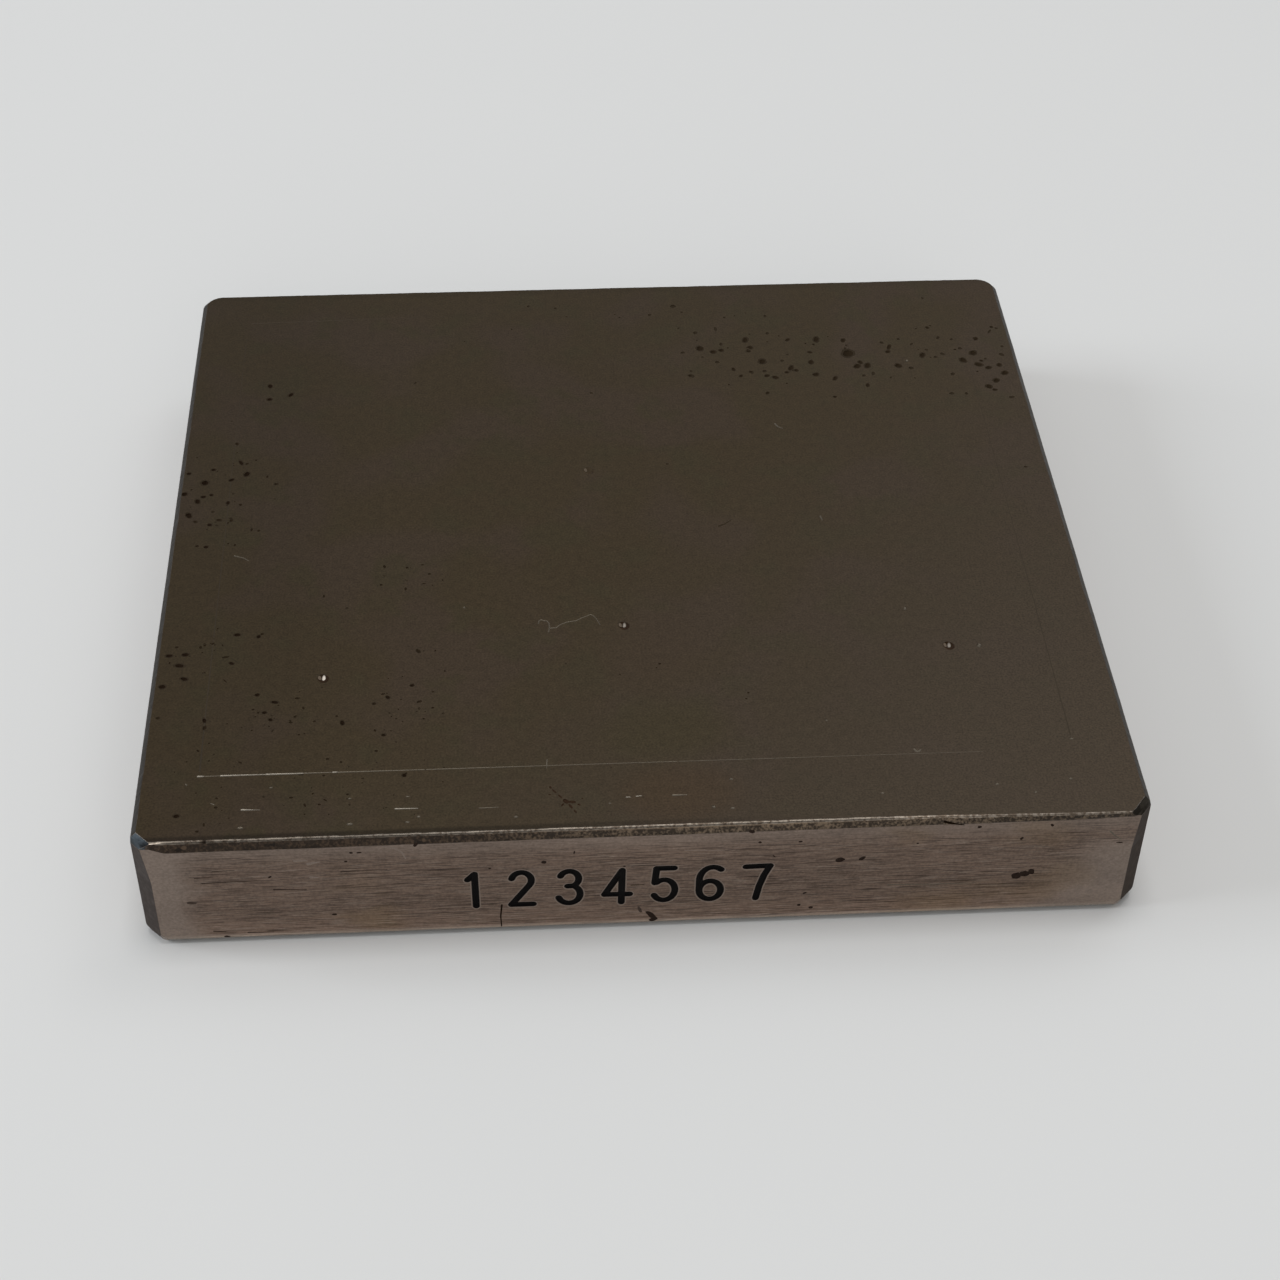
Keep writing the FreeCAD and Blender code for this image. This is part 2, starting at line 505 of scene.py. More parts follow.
@dataclass(frozen=True)
class RoughSteel:
    """A hand-ground chamfer, bevel or corner: dark and coarse, with bright crumbs of bare metal."""

    finish: Finish
    dark: Colour
    light: Colour
    crumb: float = 0.14
    contrast: float = 1.0
    roughness: float = 0.5
    metallic: float = 0.7
    gloss: float = 0.5
    left_tint: Colour = (1.0, 1.0, 1.0)
    right_painted_light: Colour = (1.0, 1.0, 1.0)
    left_calm: float = 0.0
    blots: tuple[tuple[float, float, float, float, float], ...] = ()

    def make(self) -> bpy.types.Material:
        """Makes the material."""
        graph = Graph(self.finish.value)
        crumbs = graph.grain((self.crumb, self.crumb, self.crumb), 2.0)
        clots = graph.grain((self.crumb * 4, self.crumb * 4, self.crumb * 4), 2.0, seed=9.0)
        calm = graph.ramp(graph.x, -4.0, -16.0) * self.left_calm
        share = graph.ramp(crumbs * 0.65 + clots * 0.35, 0.42, 0.66) * self.contrast
        share = share * (1.0 - calm) + calm * 0.5
        for across, height, wide, tall, level in self.blots:
            share = share + graph.spot(across, height, (wide, tall), up=graph.z) * level
        graph.relief(crumbs, 0.012 * self.contrast)
        # The tint turns from the left one to the right one along X; on the corner facets and bevels the right
        # one is painted light.
        tints = graph.blend(graph.ramp(graph.x, -13.0, 4.0), self.left_tint, self.right_painted_light)
        return graph.dress(
            Base_Color=graph.tint(graph.blend(share, self.dark, self.light), tints), Metallic=self.metallic,
            Roughness=self.roughness + (clots - 0.5) * 0.2, Specular_IOR_Level=self.gloss,
        )


@dataclass(frozen=True)
class StripSteel:
    """The rubbed edge of the test face above the front chamfer: a bright line that breaks up to the right,
    partly real burnish and partly painted highlight.
    """

    bright: Colour = tone(92, 85, 77)
    worn: Colour = tone(58, 50, 42)
    gap: Colour = tone(30, 23, 16)
    gap_at: float = -21.7

    def make(self) -> bpy.types.Material:
        """Makes the material."""
        graph = Graph(Finish.STRIP.value)
        beads = graph.grain((0.2, 0.2, 0.2), 2.0)
        runs = graph.grain((2.4, 2.4, 2.4), 2.0, seed=5.0)
        right = graph.ramp(graph.x, 12.0, 22.0)
        whole = graph.ramp(beads * 0.6 + runs * 0.4 - right * 0.05, 0.37, 0.55)
        left_end = graph.ramp(graph.x, -23.4, -24.3)
        colour = graph.blend(whole, self.worn, self.bright)
        colour = graph.blend(graph.ramp(abs(graph.x - self.gap_at), 0.15, 0.05), colour, self.gap)
        # Painted highlight: the level along X follows the strip's highlight, much brighter at the left end,
        # brighter towards the middle and right, dimmer past x 15 and near x -13.
        level = 1.0 + left_end * 1.5 + graph.ramp(graph.x, -12.0, 6.0) * 0.3 + graph.ramp(graph.x, 11.5, 13.5)
        level = level - graph.ramp(graph.x, 15.0, 17.5) * 0.6 - graph.spot(-13.0, -23.7, (5.0, 3.0)) * 0.2
        return graph.dress(Base_Color=graph.shade(colour, level), Metallic=0.9, Roughness=0.35 + right * 0.1)


@dataclass(frozen=True)
class PlainCut:
    """The inside of a small mark: one colour that is mottled a little."""

    finish: Finish
    colour: Colour
    metallic: float
    roughness: float
    mottle: float = 0.3
    gloss: float = 0.5

    def make(self) -> bpy.types.Material:
        """Makes the material."""
        graph = Graph(self.finish.value)
        crumbs = graph.grain((0.07, 0.07, 0.07), 2.0)
        level = 1.0 + (crumbs - 0.5) * self.mottle * 2
        return graph.dress(
            Base_Color=graph.shade(self.colour, level), Metallic=self.metallic, Roughness=self.roughness,
            Specular_IOR_Level=self.gloss,
        )


@dataclass(frozen=True)
class ConeSteel:
    """The inside of the diamond's marks, with its light painted in: dim flanks as painted shade, a tall
    painted highlight right of the middle and a faint one left.
    """

    painted_shade_flank: Colour = tone(44, 32, 20)
    faint_flank: Colour = tone(62, 52, 39)
    faint_painted_highlight: Colour = tone(122, 109, 95)
    painted_gleam: Colour = tone(218, 208, 195)

    def make(self) -> bpy.types.Material:
        """Makes the material."""
        graph = Graph(Finish.CONE.value)
        colour = self.painted_shade_flank
        for indent in INDENTS:
            # Painted light: each mark's shade and highlights are set in the colour, on a matte surface.
            near = graph.spot(indent.across, indent.along, (1.0, 1.0)) * 2.0 * (1.0 - indent.painted_shade)
            faint_painted_highlight = graph.spot(indent.across - 0.14, indent.along + 0.04, (0.12, 0.18)) * 1.2
            painted_gleam = graph.spot(indent.across + 0.08, indent.along + 0.02, (0.12, 0.24)) * indent.painted_gleam * 1.15
            colour = graph.blend(graph.ramp(near, 0.0, 1.0), colour, self.faint_flank)
            colour = graph.blend(graph.ramp(faint_painted_highlight, 0.0, 1.0) * (0.4 + 0.4 * indent.painted_shade), colour, self.faint_painted_highlight)
            colour = graph.blend(graph.ramp(painted_gleam, 0.0, 1.0), colour, self.painted_gleam)
        return graph.dress(Base_Color=colour, Metallic=0.1, Roughness=0.8, Specular_IOR_Level=0.05)


class FinishShelf:
    """All the finishes of the block, made once and handed out by name."""

    def __init__(self) -> None:
        """Makes every finish."""
        recipes = (
            LappedSteel(),
            GroundSteel(Finish.FRONT, stained=True),
            GroundSteel(Finish.REAR, seed=50.0),
            GroundSteel(Finish.ENDS, runs_along_y=True, seed=70.0, smooth_from=21.2),
            GroundSteel(Finish.UNDERSIDE, lies_flat=True, seed=90.0, smooth_from=40.0),
            RoughSteel(
                Finish.CHAMFER, tone(46, 37, 28), tone(116, 100, 83), contrast=0.85,
                left_tint=(0.42, 0.37, 0.34), left_calm=0.25,
                blots=(
                    (-22.95, 6.86, 0.2, 0.1, -0.9), (-22.7, 6.95, 0.18, 0.12, 1.0),
                    (-11.2, 6.8, 0.3, 0.12, -0.6), (-11.0, 6.92, 0.12, 0.12, 0.9),
                    (3.0, 7.14, 12.0, 0.1, 0.7), (-18.6, 6.95, 0.5, 0.1, -0.5),
                ),
            ),
            RoughSteel(
                Finish.SIDE_CHAMFER, tone(54, 49, 43), tone(69, 62, 55), crumb=0.25, contrast=0.6,
                left_tint=(0.63, 0.62, 0.62),
            ),
            # Painted shade: the corner facets on the right are darker and browner, as they face away from the
            # light.
            RoughSteel(
                Finish.CORNER, tone(62, 55, 52), tone(78, 71, 67), crumb=0.3, contrast=0.8, roughness=0.65,
                metallic=0.3, gloss=0.1, right_painted_light=(0.66, 0.55, 0.44),
            ),
            # Painted reflection: the front corner bevels carry a bluish grey, the cool light mirrored on the
            # left, turning warmer on the right.
            RoughSteel(
                Finish.BEVEL, tone(36, 39, 41), tone(55, 60, 63), crumb=0.4, contrast=0.8, roughness=0.42,
                metallic=0.95, right_painted_light=(1.55, 1.12, 0.78),
            ),
            StripSteel(),
            PlainCut(Finish.EDGE, tone(82, 72, 64), 0.8, 0.4, 0.5),
            # Painted highlight: a light line along the front's foot edge.
            PlainCut(Finish.FOOT_RIM, tone(142, 136, 128), 0.7, 0.45, 0.6),
            # Painted highlight: a bright thin line on the rims of the front corner bevels.
            PlainCut(Finish.GLINT, tone(176, 174, 168), 0.7, 0.45, 0.3),
            PlainCut(Finish.TRACE, tone(64, 54, 41), 0.7, 0.5),
            PlainCut(Finish.RUST, tone(31, 21, 12), 0.0, 0.9, 0.5, 0.05),
            PlainCut(Finish.OLD_RUST, tone(41, 32, 21), 0.0, 0.9, 0.4, 0.05),
            PlainCut(Finish.FAINT, tone(51, 42, 30), 0.2, 0.8, 0.3, 0.1),
            PlainCut(Finish.STAIN, tone(52, 38, 27), 0.0, 0.9, 0.5, 0.05),
            PlainCut(Finish.STAMP, tone(13, 11, 11), 0.0, 0.9, 0.3, 0.15),
            PlainCut(Finish.KNOCK, tone(45, 34, 28), 0.1, 0.8, 0.5, 0.1),
            PlainCut(Finish.SCUFF, tone(74, 61, 53), 0.5, 0.6, 0.4, 0.3),
            PlainCut(Finish.LIP, tone(126, 112, 102), 0.85, 0.36),
            PlainCut(Finish.BRIGHT, tone(129, 122, 111), 0.8, 0.4, 0.5),
            PlainCut(Finish.DULL, tone(94, 86, 74), 0.7, 0.45, 0.5),
            ConeSteel(),
        )
        made = [recipe.make() for recipe in recipes]
        self._by_name = {material.name: material for material in made}

    def __getitem__(self, finish: Finish) -> bpy.types.Material:
        """Returns one finish's material."""
        return self._by_name[finish.value]


def deselect_all() -> None:
    """Deselects every object, so that an operator acts only on what is picked next."""
    if bpy.context.object is not None and bpy.context.object.mode != "OBJECT":
        bpy.ops.object.mode_set(mode="OBJECT")
    bpy.ops.object.select_all(action="DESELECT")


def pick(piece: bpy.types.Object) -> None:
    """Makes one object the only selected and active one.

    Args:
        piece: The object.
    """
    deselect_all()
    piece.select_set(True)
    bpy.context.view_layer.objects.active = piece


@contextmanager
def edit_mode(piece: bpy.types.Object, component: str = "FACE") -> Iterator[None]:
    """Opens a mesh in edit mode and leaves it again.

    Args:
        piece: The mesh object.
        component: What is selected there: VERT, EDGE or FACE.

    Yields:
        Nothing.
    """
    pick(piece)
    bpy.context.tool_settings.mesh_select_mode = tuple(component == kind for kind in ("VERT", "EDGE", "FACE"))
    bpy.ops.object.mode_set(mode="EDIT")
    yield
    bpy.ops.object.mode_set(mode="OBJECT")


def mark_edges(piece: bpy.types.Object, wanted: Callable[[Vector, Vector], bool]) -> None:
    """Leaves selected only the edges that a test picks.

    Args:
        piece: The mesh object.
        wanted: The test, given an edge's two ends in millimetres.
    """
    with edit_mode(piece, "EDGE"):
        bpy.ops.mesh.select_all(action="DESELECT")
    points = piece.data.vertices
    for edge in piece.data.edges:
        start, end = (points[index].co / MM for index in edge.vertices)
        edge.select = wanted(start, end)


def apply_modifier(piece: bpy.types.Object, modifier: bpy.types.Modifier) -> None:
    """Applies one modifier to its mesh.

    Args:
        piece: The object.
        modifier: The modifier.
    """
    pick(piece)
    bpy.ops.object.modifier_apply(modifier=modifier.name)


def ease(value: float, start: float, end: float) -> float:
    """Rises smoothly from 0 to 1 as a value goes from start to end."""
    share = max(0.0, min(1.0, (value - start) / (end - start)))
    return share * share * (3.0 - 2.0 * share)


@dataclass(frozen=True)
class PlaneCut:
    """A flat cut that takes away what lies outside it."""

    point: Vector
    normal: Vector


@dataclass(frozen=True)
class HandGrinding:
    """How far the hand-ground front wanders from true, and over which runs of X or -Y, in millimetres."""

    band_back: float = 0.9
    band_down: float = 1.0
    full_below: float = 0.45
    strip_drift: float = 0.2
    drift_run: Point = (11.0, 24.0)
    corner_insets: Point = (1.0, 0.9)
    right_narrowing: float = 0.16
    right_lift: float = 0.1
    right_run: Point = (21.0, 24.3)
    right_bevel_lift: float = 0.14
    left_narrowing: float = 0.26
    left_lift: float = 0.43
    left_run: Point = (23.5, 24.8)
    left_bevel_share: float = 0.85
    bevel_run: Point = (23.5, 23.9)
    clip_run: Point = (23.1, 23.6)


@dataclass
class GroundBlock:
    """The block's own form: a plate with clipped corners, bevels, chamfers and rubbed, slightly uneven edges.

    Lengths are millimetres. The front chamfer was ground by hand and narrows towards both of its ends.
    """

    low: Vector
    high: Vector
    corner_clip: float = 0.82
    corner_bevel_drop: float = 0.46
    corner_bevel_run_left: float = 0.35
    corner_bevel_run_right: float = 0.42
    back_chamfer: float = 0.38
    side_chamfer: float = 0.28
    front_chamfer_left: float = 0.475
    front_chamfer_right: float = 0.37
    front_chamfer_top: float = 0.27
    foot_chamfer: float = 0.3
    foot_corner_radius: float = 1.25
    foot_corner_rise: float = 1.2
    back_corner_radius: float = 1.3
    strip_round: float = 0.1
    glint_round: float = 0.08
    foot_rim_round: float = 0.08
    lean_from: float = 4.6
    facet_end: float = 0.95
    edge_round: float = 0.035
    cell: float = 4.0
    chamfer_rows: int = 3
    edge_steps: int = 36
    wave: float = 0.014
    wave_length: float = 1.6
    wear_seed: int = 11
    crumble: float = 0.02
    crumb_length: float = 0.22
    crumb_share: float = 0.6
    worn_from_top: float = 1.0
    worn_from_foot: float = 0.4
    worn_inwards: float = 0.6
    calm_rim: float = 0.06
    on_plane: float = 0.002
    foot_turns: tuple[float, ...] = (22.5, 45.0, 67.5)
    foot_slopes: tuple[float, ...] = (20, 42, 64)
    back_turns: tuple[float, ...] = (15, 30, 45, 60, 75)
    sharp_from: float = math.radians(20)
    grinding: HandGrinding = HandGrinding()

    def __post_init__(self) -> None:
        """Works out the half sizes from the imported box."""
        self.half_width = (self.high.x - self.low.x) / 2 / MM
        self.half_depth = (self.high.y - self.low.y) / 2 / MM
        self.height = (self.high.z - self.low.z) / MM

    def build(self, shelf: FinishShelf) -> bpy.types.Object:
        """Models the block.

        Args:
            shelf: The finishes.

        Returns:
            The block's object, its place in its mesh.
        """
        block = self._blank()
        self._trim(block)
        self._dress(block, shelf)
        self._round_edges(block)
        self._divide(block)
        self._weather(block)
        return block

    def _blank(self) -> bpy.types.Object:
        """Adds the sawn plate."""
        deselect_all()
        middle = (self.low + self.high) / 2
        bpy.ops.mesh.primitive_cube_add(size=1.0, location=middle, scale=self.high - self.low)
        blank = bpy.context.object
        blank.name = "lapped_block"
        bpy.ops.object.transform_apply(location=True, rotation=True, scale=True)
        return blank

    def _corner_cuts(self, side_x: int, side_y: int) -> Iterator[PlaneCut]:
        """Lists the cuts of one corner: the facets of its rounded foot and, in front, its clip and bevel.

        The foot is round in plan at the very bottom and turns into the flat clip as it rises.
        """
        corner = Vector((side_x * self.half_width, side_y * self.half_depth, 0.0))
        upward = Vector((0.0, 0.0, 1.0))
        if side_y < 0:
            middle = corner - Vector((side_x, side_y, 0.0)) * self.corner_clip / 2
            outward = Vector((side_x, side_y, 0.0)).normalized()
            drop = self.corner_bevel_drop
            run = self.corner_bevel_run_left if side_x < 0 else self.corner_bevel_run_right
            yield PlaneCut(middle, outward)
            yield PlaneCut(middle + upward * (self.height - drop), outward * drop + upward * run)
        rise, inset = self.foot_corner_rise, self.foot_chamfer + self.foot_corner_radius
        for turn in (math.radians(degrees) for degrees in self.foot_turns):
            outward = Vector((side_x * math.cos(turn), side_y * math.sin(turn), 0.0))
            clip_in = self.corner_clip * min(math.sin(turn), math.cos(turn))
            round_in = inset * (math.sin(turn) + math.cos(turn)) - self.foot_corner_radius
            run = round_in - clip_in
            for slope in (math.radians(degrees) for degrees in self.foot_slopes):
                normal = outward * math.cos(slope) - upward * math.sin(slope)
                reach = math.hypot(run * math.cos(slope), rise * math.sin(slope))
                yield PlaneCut(corner - outward * (clip_in + run) + upward * rise + normal * reach, normal)

    def _back_round_cuts(self, side: int) -> Iterator[PlaneCut]:
        """Lists the facets that round a back corner, and its chamfer around the top and foot."""
        radius = self.back_corner_radius
        centre = Vector((side * (self.half_width - radius), self.half_depth - radius, 0.0))
        upward = Vector((0.0, 0.0, 1.0))
        for angle in (math.radians(degrees) for degrees in self.back_turns):
            outward = Vector((side * math.cos(angle), math.sin(angle), 0.0))
            top = self.side_chamfer + (self.back_chamfer - self.side_chamfer) * math.sin(angle) ** 2
            skin = centre + outward * radius
            yield PlaneCut(skin, outward)
            yield PlaneCut(skin + upward * (self.height - top), outward + upward)
            yield PlaneCut(skin + upward * self.foot_chamfer, outward - upward)

    def _cuts(self) -> Iterator[PlaneCut]:
        """Lists the flat cuts that give the plate its clips, bevels, chamfers and rounded corners."""
        wide, deep, tall = self.half_width, self.half_depth, self.height
        for side_x in (-1, 1):
            for side_y in (-1, 1):
                yield from self._corner_cuts(side_x, side_y)
            yield from self._back_round_cuts(side_x)
        for side in (-1, 1):
            yield PlaneCut(Vector((side * wide, 0, tall - self.side_chamfer)), Vector((side, 0, 1)))
            yield PlaneCut(Vector((side * wide, 0, self.foot_chamfer)), Vector((side, 0, -1)))
            yield PlaneCut(Vector((0, side * deep, self.foot_chamfer)), Vector((0, side, -1)))
        yield PlaneCut(Vector((0, deep, tall - self.back_chamfer)), Vector((0, 1, 1)))
        left_end = Vector((-wide, -deep, tall - self.front_chamfer_left))
        right_end = Vector((wide, -deep, tall - self.front_chamfer_right))
        top_left = Vector((-wide, -deep + self.front_chamfer_top, tall))
        yield PlaneCut(left_end, (right_end - left_end).cross(top_left - left_end))

    def _trim(self, block: bpy.types.Object) -> None:
        """Makes the flat cuts."""
        with edit_mode(block):
            for cut in self._cuts():
                bpy.ops.mesh.select_all(action="SELECT")
                bpy.ops.mesh.bisect(
                    plane_co=cut.point * MM, plane_no=cut.normal.normalized(), use_fill=True,
                    clear_outer=True, threshold=WELD,
                )

    @staticmethod
    def _finish_for(normal: Vector) -> Finish:
        """Names the finish of a face by the way it looks."""
        across, along, up = abs(normal.x), abs(normal.y), normal.z
        if up > 0.99:
            return Finish.LAPPED
        if up < -0.99:
            return Finish.UNDERSIDE
        if abs(up) < 0.05:
            if along > 0.98:
                return Finish.FRONT if normal.y < 0 else Finish.REAR
            return Finish.ENDS if across > 0.98 else Finish.CORNER
        if up < 0 and min(across, along) > 0.12:
            return Finish.CORNER if along < across * 1.5 or normal.y > 0 else Finish.FRONT
        if min(across, along) > 0.3:
            return Finish.BEVEL if normal.y < 0 else Finish.SIDE_CHAMFER
        return Finish.CHAMFER if along > across else Finish.SIDE_CHAMFER

    def _dress(self, block: bpy.types.Object, shelf: FinishShelf) -> None:
        """Gives each flat its finish, and a slot to the edges that are rounded next."""
        order = (
            Finish.LAPPED, Finish.FRONT, Finish.REAR, Finish.ENDS, Finish.UNDERSIDE, Finish.CHAMFER,
            Finish.SIDE_CHAMFER, Finish.CORNER, Finish.BEVEL, Finish.STRIP, Finish.EDGE, Finish.GLINT,
            Finish.FOOT_RIM,
        )
        for finish in order:
            block.data.materials.append(shelf[finish])
        for face in block.data.polygons:
            face.material_index = order.index(self._finish_for(face.normal))
        self.slots = {finish: order.index(finish) for finish in order}

    def _round_off(self, block: bpy.types.Object, offset: float, steps: int, finish: Finish,
             wanted: Callable[[Vector, Vector], bool] | None = None) -> None:
        """Rounds the edges that a test picks by their ends, or all the sharp ones.

        Args:
            block: The block.
            offset: How far the rounding reaches into the flats, in millimetres.
            steps: How many faces it has.
            finish: The rounding's finish.
            wanted: The test, in millimetres.
        """
        mark_edges(block, wanted or (lambda start, end: False))
        with edit_mode(block, "EDGE"):
            if wanted is None:
                bpy.ops.mesh.edges_select_sharp(sharpness=self.sharp_from)
            bpy.ops.mesh.bevel(
                offset=offset * MM, segments=steps, material=self.slots[finish], affect="EDGES",
                offset_type="OFFSET", clamp_overlap=True,
            )
            bpy.ops.mesh.select_all(action="SELECT")
            bpy.ops.mesh.remove_doubles(threshold=WELD)

    def _round_edges(self, block: bpy.types.Object) -> None:
        """Rounds the front's top and foot edges and the rims of its bevels, then breaks every other edge. The
        top edge's finish is partly painted highlight; the foot edge and the bevel rims take painted
        highlights.
        """
        across, slack = 20.0, 0.01

        def bevel_rim(start: Vector, end: Vector) -> bool:
            """Tells the edges between the lapped face and the front corner bevels."""
            slant = abs(start.x - end.x) > 0.3 and abs(start.y - end.y) > 0.3
            return slant and max(start.y, end.y) < 0 and min(start.z, end.z) > self.height - slack

        def front_top(start: Vector, end: Vector) -> bool:
            """Tells the edge between the lapped face and the front chamfer."""
            at_top = min(start.z, end.z) > self.height - self.strip_round
            return abs(start.x - end.x) > across and max(start.y, end.y) < 0 and at_top

        def front_foot(start: Vector, end: Vector) -> bool:
            """Tells the edge between the front and its foot chamfer."""
            at_front = max(start.y, end.y) < slack - self.half_depth
            at_foot = max(start.z, end.z) < self.foot_chamfer + slack
            return abs(start.x - end.x) > across and at_front and at_foot

        self._round_off(block, self.strip_round, 3, Finish.STRIP, front_top)
        self._round_off(block, self.foot_rim_round, 2, Finish.FOOT_RIM, front_foot)
        self._round_off(block, self.glint_round, 2, Finish.GLINT, bevel_rim)
        self._round_off(block, self.edge_round, 2, Finish.EDGE)

    def _divide(self, block: bpy.types.Object) -> None:
        """Cuts the faces into cells, the chamfers into rows and the edges beside them into short steps.

        The last facet of the front chamfer at each end belongs to the corner, so it takes the bevel's finish.
        """
        levels = [
            self.height - self.back_chamfer * (row + 1) / (self.chamfer_rows + 1)
            for row in range(self.chamfer_rows)
        ]
        planes = [(Vector((0, 0, level)), Vector((0, 0, 1))) for level in (*levels, self.lean_from)]
        for side in (-1, 1):
            planes.append((Vector((side * (self.half_width - self.facet_end), 0, 0)), Vector((1, 0, 0))))
        for axis, half in ((0, self.half_width), (1, self.half_depth)):
            count = round(2 * half / self.cell)
            for step in range(1, count):
                spot, normal = Vector(), Vector()
                spot[axis] = -half + 2 * half * step / count
                normal[axis] = 1.0
                planes.append((spot, normal))
        with edit_mode(block):
            for spot, normal in planes:
                bpy.ops.mesh.select_all(action="SELECT")
                bpy.ops.mesh.bisect(plane_co=spot * MM, plane_no=normal, threshold=WELD)
        for face in block.data.polygons:
            beyond = self.half_width - self.facet_end < abs(face.center.x) / MM
            in_front = face.center.y < 0 and face.material_index == self.slots[Finish.CHAMFER]
            if beyond and in_front and face.normal.z > 0:
                face.material_index = self.slots[Finish.BEVEL]
        mark_edges(block, self._runs_along_rim)
        with edit_mode(block, "EDGE"):
            bpy.ops.mesh.subdivide(number_cuts=self.edge_steps)

    def _runs_along_rim(self, start: Vector, end: Vector) -> bool:
        """Tells the long level edges beside the chamfers, at the top and at the foot."""
        rim, foot, near, shortest = self.height - 0.7, 0.45, 0.7, 1.5
        middle = (start + end) / 2
        level = abs(start.z - end.z) < 0.2 and (middle.z > rim or middle.z < foot)
        at_side = min(abs(start.x), abs(end.x)) > self.half_width - near
        at_front_or_back = min(abs(start.y), abs(end.y)) > self.half_depth - near
        return level and (at_side or at_front_or_back) and (end - start).length > shortest

    def _hand_ground(self, spot: Vector) -> Vector:
        """Gives the shift in millimetres that narrows the front chamfer and its bevels towards their ends.

        The bright strip drifts forward on the right, the lower edge rises towards both front corners, and the
        corners' flats narrow upwards.

        Args:
            spot: A point in millimetres.

        Returns:
            The shift.
        """
        hand = self.grinding
        depth = self.height - spot.z
        if spot.y > hand.band_back - self.half_depth or depth > hand.band_down:
            return Vector()
        below = min(1.0, depth / hand.full_below)
        drift = hand.strip_drift * ease(spot.x, *hand.drift_run)
        at_corner = ease(abs(spot.x), *(self.half_width - inset for inset in hand.corner_insets))
        at_bevel = ease(-spot.y, *hand.bevel_run)
        if spot.x > 0:
            narrow = hand.right_narrowing
            lift = hand.right_lift * ease(spot.x, *hand.right_run)
            lift += hand.right_bevel_lift * at_corner * at_bevel
        else:
            narrow = hand.left_narrowing
            lift = hand.left_lift * ease(-spot.x, *hand.left_run)
            lift *= 1.0 + (at_bevel * hand.left_bevel_share - 1.0) * at_corner
        narrow *= at_corner * ease(-spot.y, *hand.clip_run)
        return Vector((math.copysign(narrow * below, spot.x), -drift * (1.0 - below), lift * below))

    def _weather(self, block: bpy.types.Object) -> None:
        """Moves points near the edges a few hundredths, and never out of the flats that they border."""
        wide, deep, tall = self.half_width * MM, self.half_depth * MM, self.height * MM
        close = self.on_plane * MM
        noise.seed_set(self.wear_seed)
        for point in block.data.vertices:
            spot = point.co.copy()
            near_top = spot.z > tall - self.worn_from_top * MM
            near_foot = spot.z < self.worn_from_foot * MM
            to_side = min(wide - abs(spot.x), deep - abs(spot.y))
            if not (near_top or near_foot) or to_side > self.worn_inwards * MM:
                continue
            slow = noise.noise_vector(spot / (self.wave_length * MM))
            quick = noise.noise_vector(spot / (self.crumb_length * MM))
            inside = near_top and to_side > self.calm_rim * MM and spot.z < tall - self.calm_rim * MM
            amount = self.crumble if inside else self.wave * self.crumb_share
            shift = (slow * self.wave + quick * amount + self._hand_ground(spot / MM)) * MM
            if abs(spot.z - tall) < close or spot.z < close:
                shift.z = 0.0
            if wide - abs(spot.x) < close:
                shift.x = 0.0
            if deep - abs(spot.y) < close:
                shift.y = 0.0
            moved = spot + shift
            moved.x = max(-wide, min(wide, moved.x))
            moved.y = max(-deep, min(deep, moved.y))
            moved.z = max(0.0, min(tall, moved.z))
            point.co = moved


class Side(Enum):
    """The faces that carry marks."""

    TOP = "top"
    FRONT = "front"

    def placement(self, low: Vector, high: Vector) -> Matrix:
        """Gives the matrix from a face's own frame, with Z out of the face, to the block's.

        Args:
            low: The block's lowest corner.
            high: The block's highest corner.

        Returns:
            The placing matrix.
        """
        if self is Side.TOP:
            return Matrix.Translation((0, 0, high.z))
        return Matrix.Translation((0, low.y, 0)) @ Matrix.Rotation(math.pi / 2, 4, "X")


@dataclass(frozen=True)
class Pit:
    """A small hollow, by its place, length and width in millimetres and its turn in degrees."""

    across: float
    along: float
    long: float
    short: float
    turn: float = 0.0
    faint: bool = False


@dataclass(frozen=True)
class Sprinkle:
    """A patch of small pits that are placed by chance: its middle, half sizes, count and sizes."""

    across: float
    along: float
    reach_across: float
    reach_along: float
    count: int
    smallest: float = 0.08
    largest: float = 0.2
    faint_share: float = 0.4


@dataclass(frozen=True)
class Groove:
    """A cut along a line of points, in millimetres on its face, that may fade towards its end."""

    points: tuple[Point, ...]
    width: float
    depth: float
    finish: Finish = Finish.BRIGHT
    end_share: float = 0.15


def arc(centre: Point, reach: Point, start: float, end: float) -> list[Point]:
    """Lists points on an oval arc.

    Args:
        centre: The oval's middle.
        reach: Its half width and half height.
        start: The first angle in degrees.
        end: The last angle in degrees.

    Returns:
        The points, about 12 degrees apart.
    """
    steps = max(2, round(abs(end - start) / 12))
    angles = [math.radians(start + (end - start) * step / steps) for step in range(steps + 1)]
    return [(centre[0] + reach[0] * math.cos(a), centre[1] + reach[1] * math.sin(a)) for a in angles]


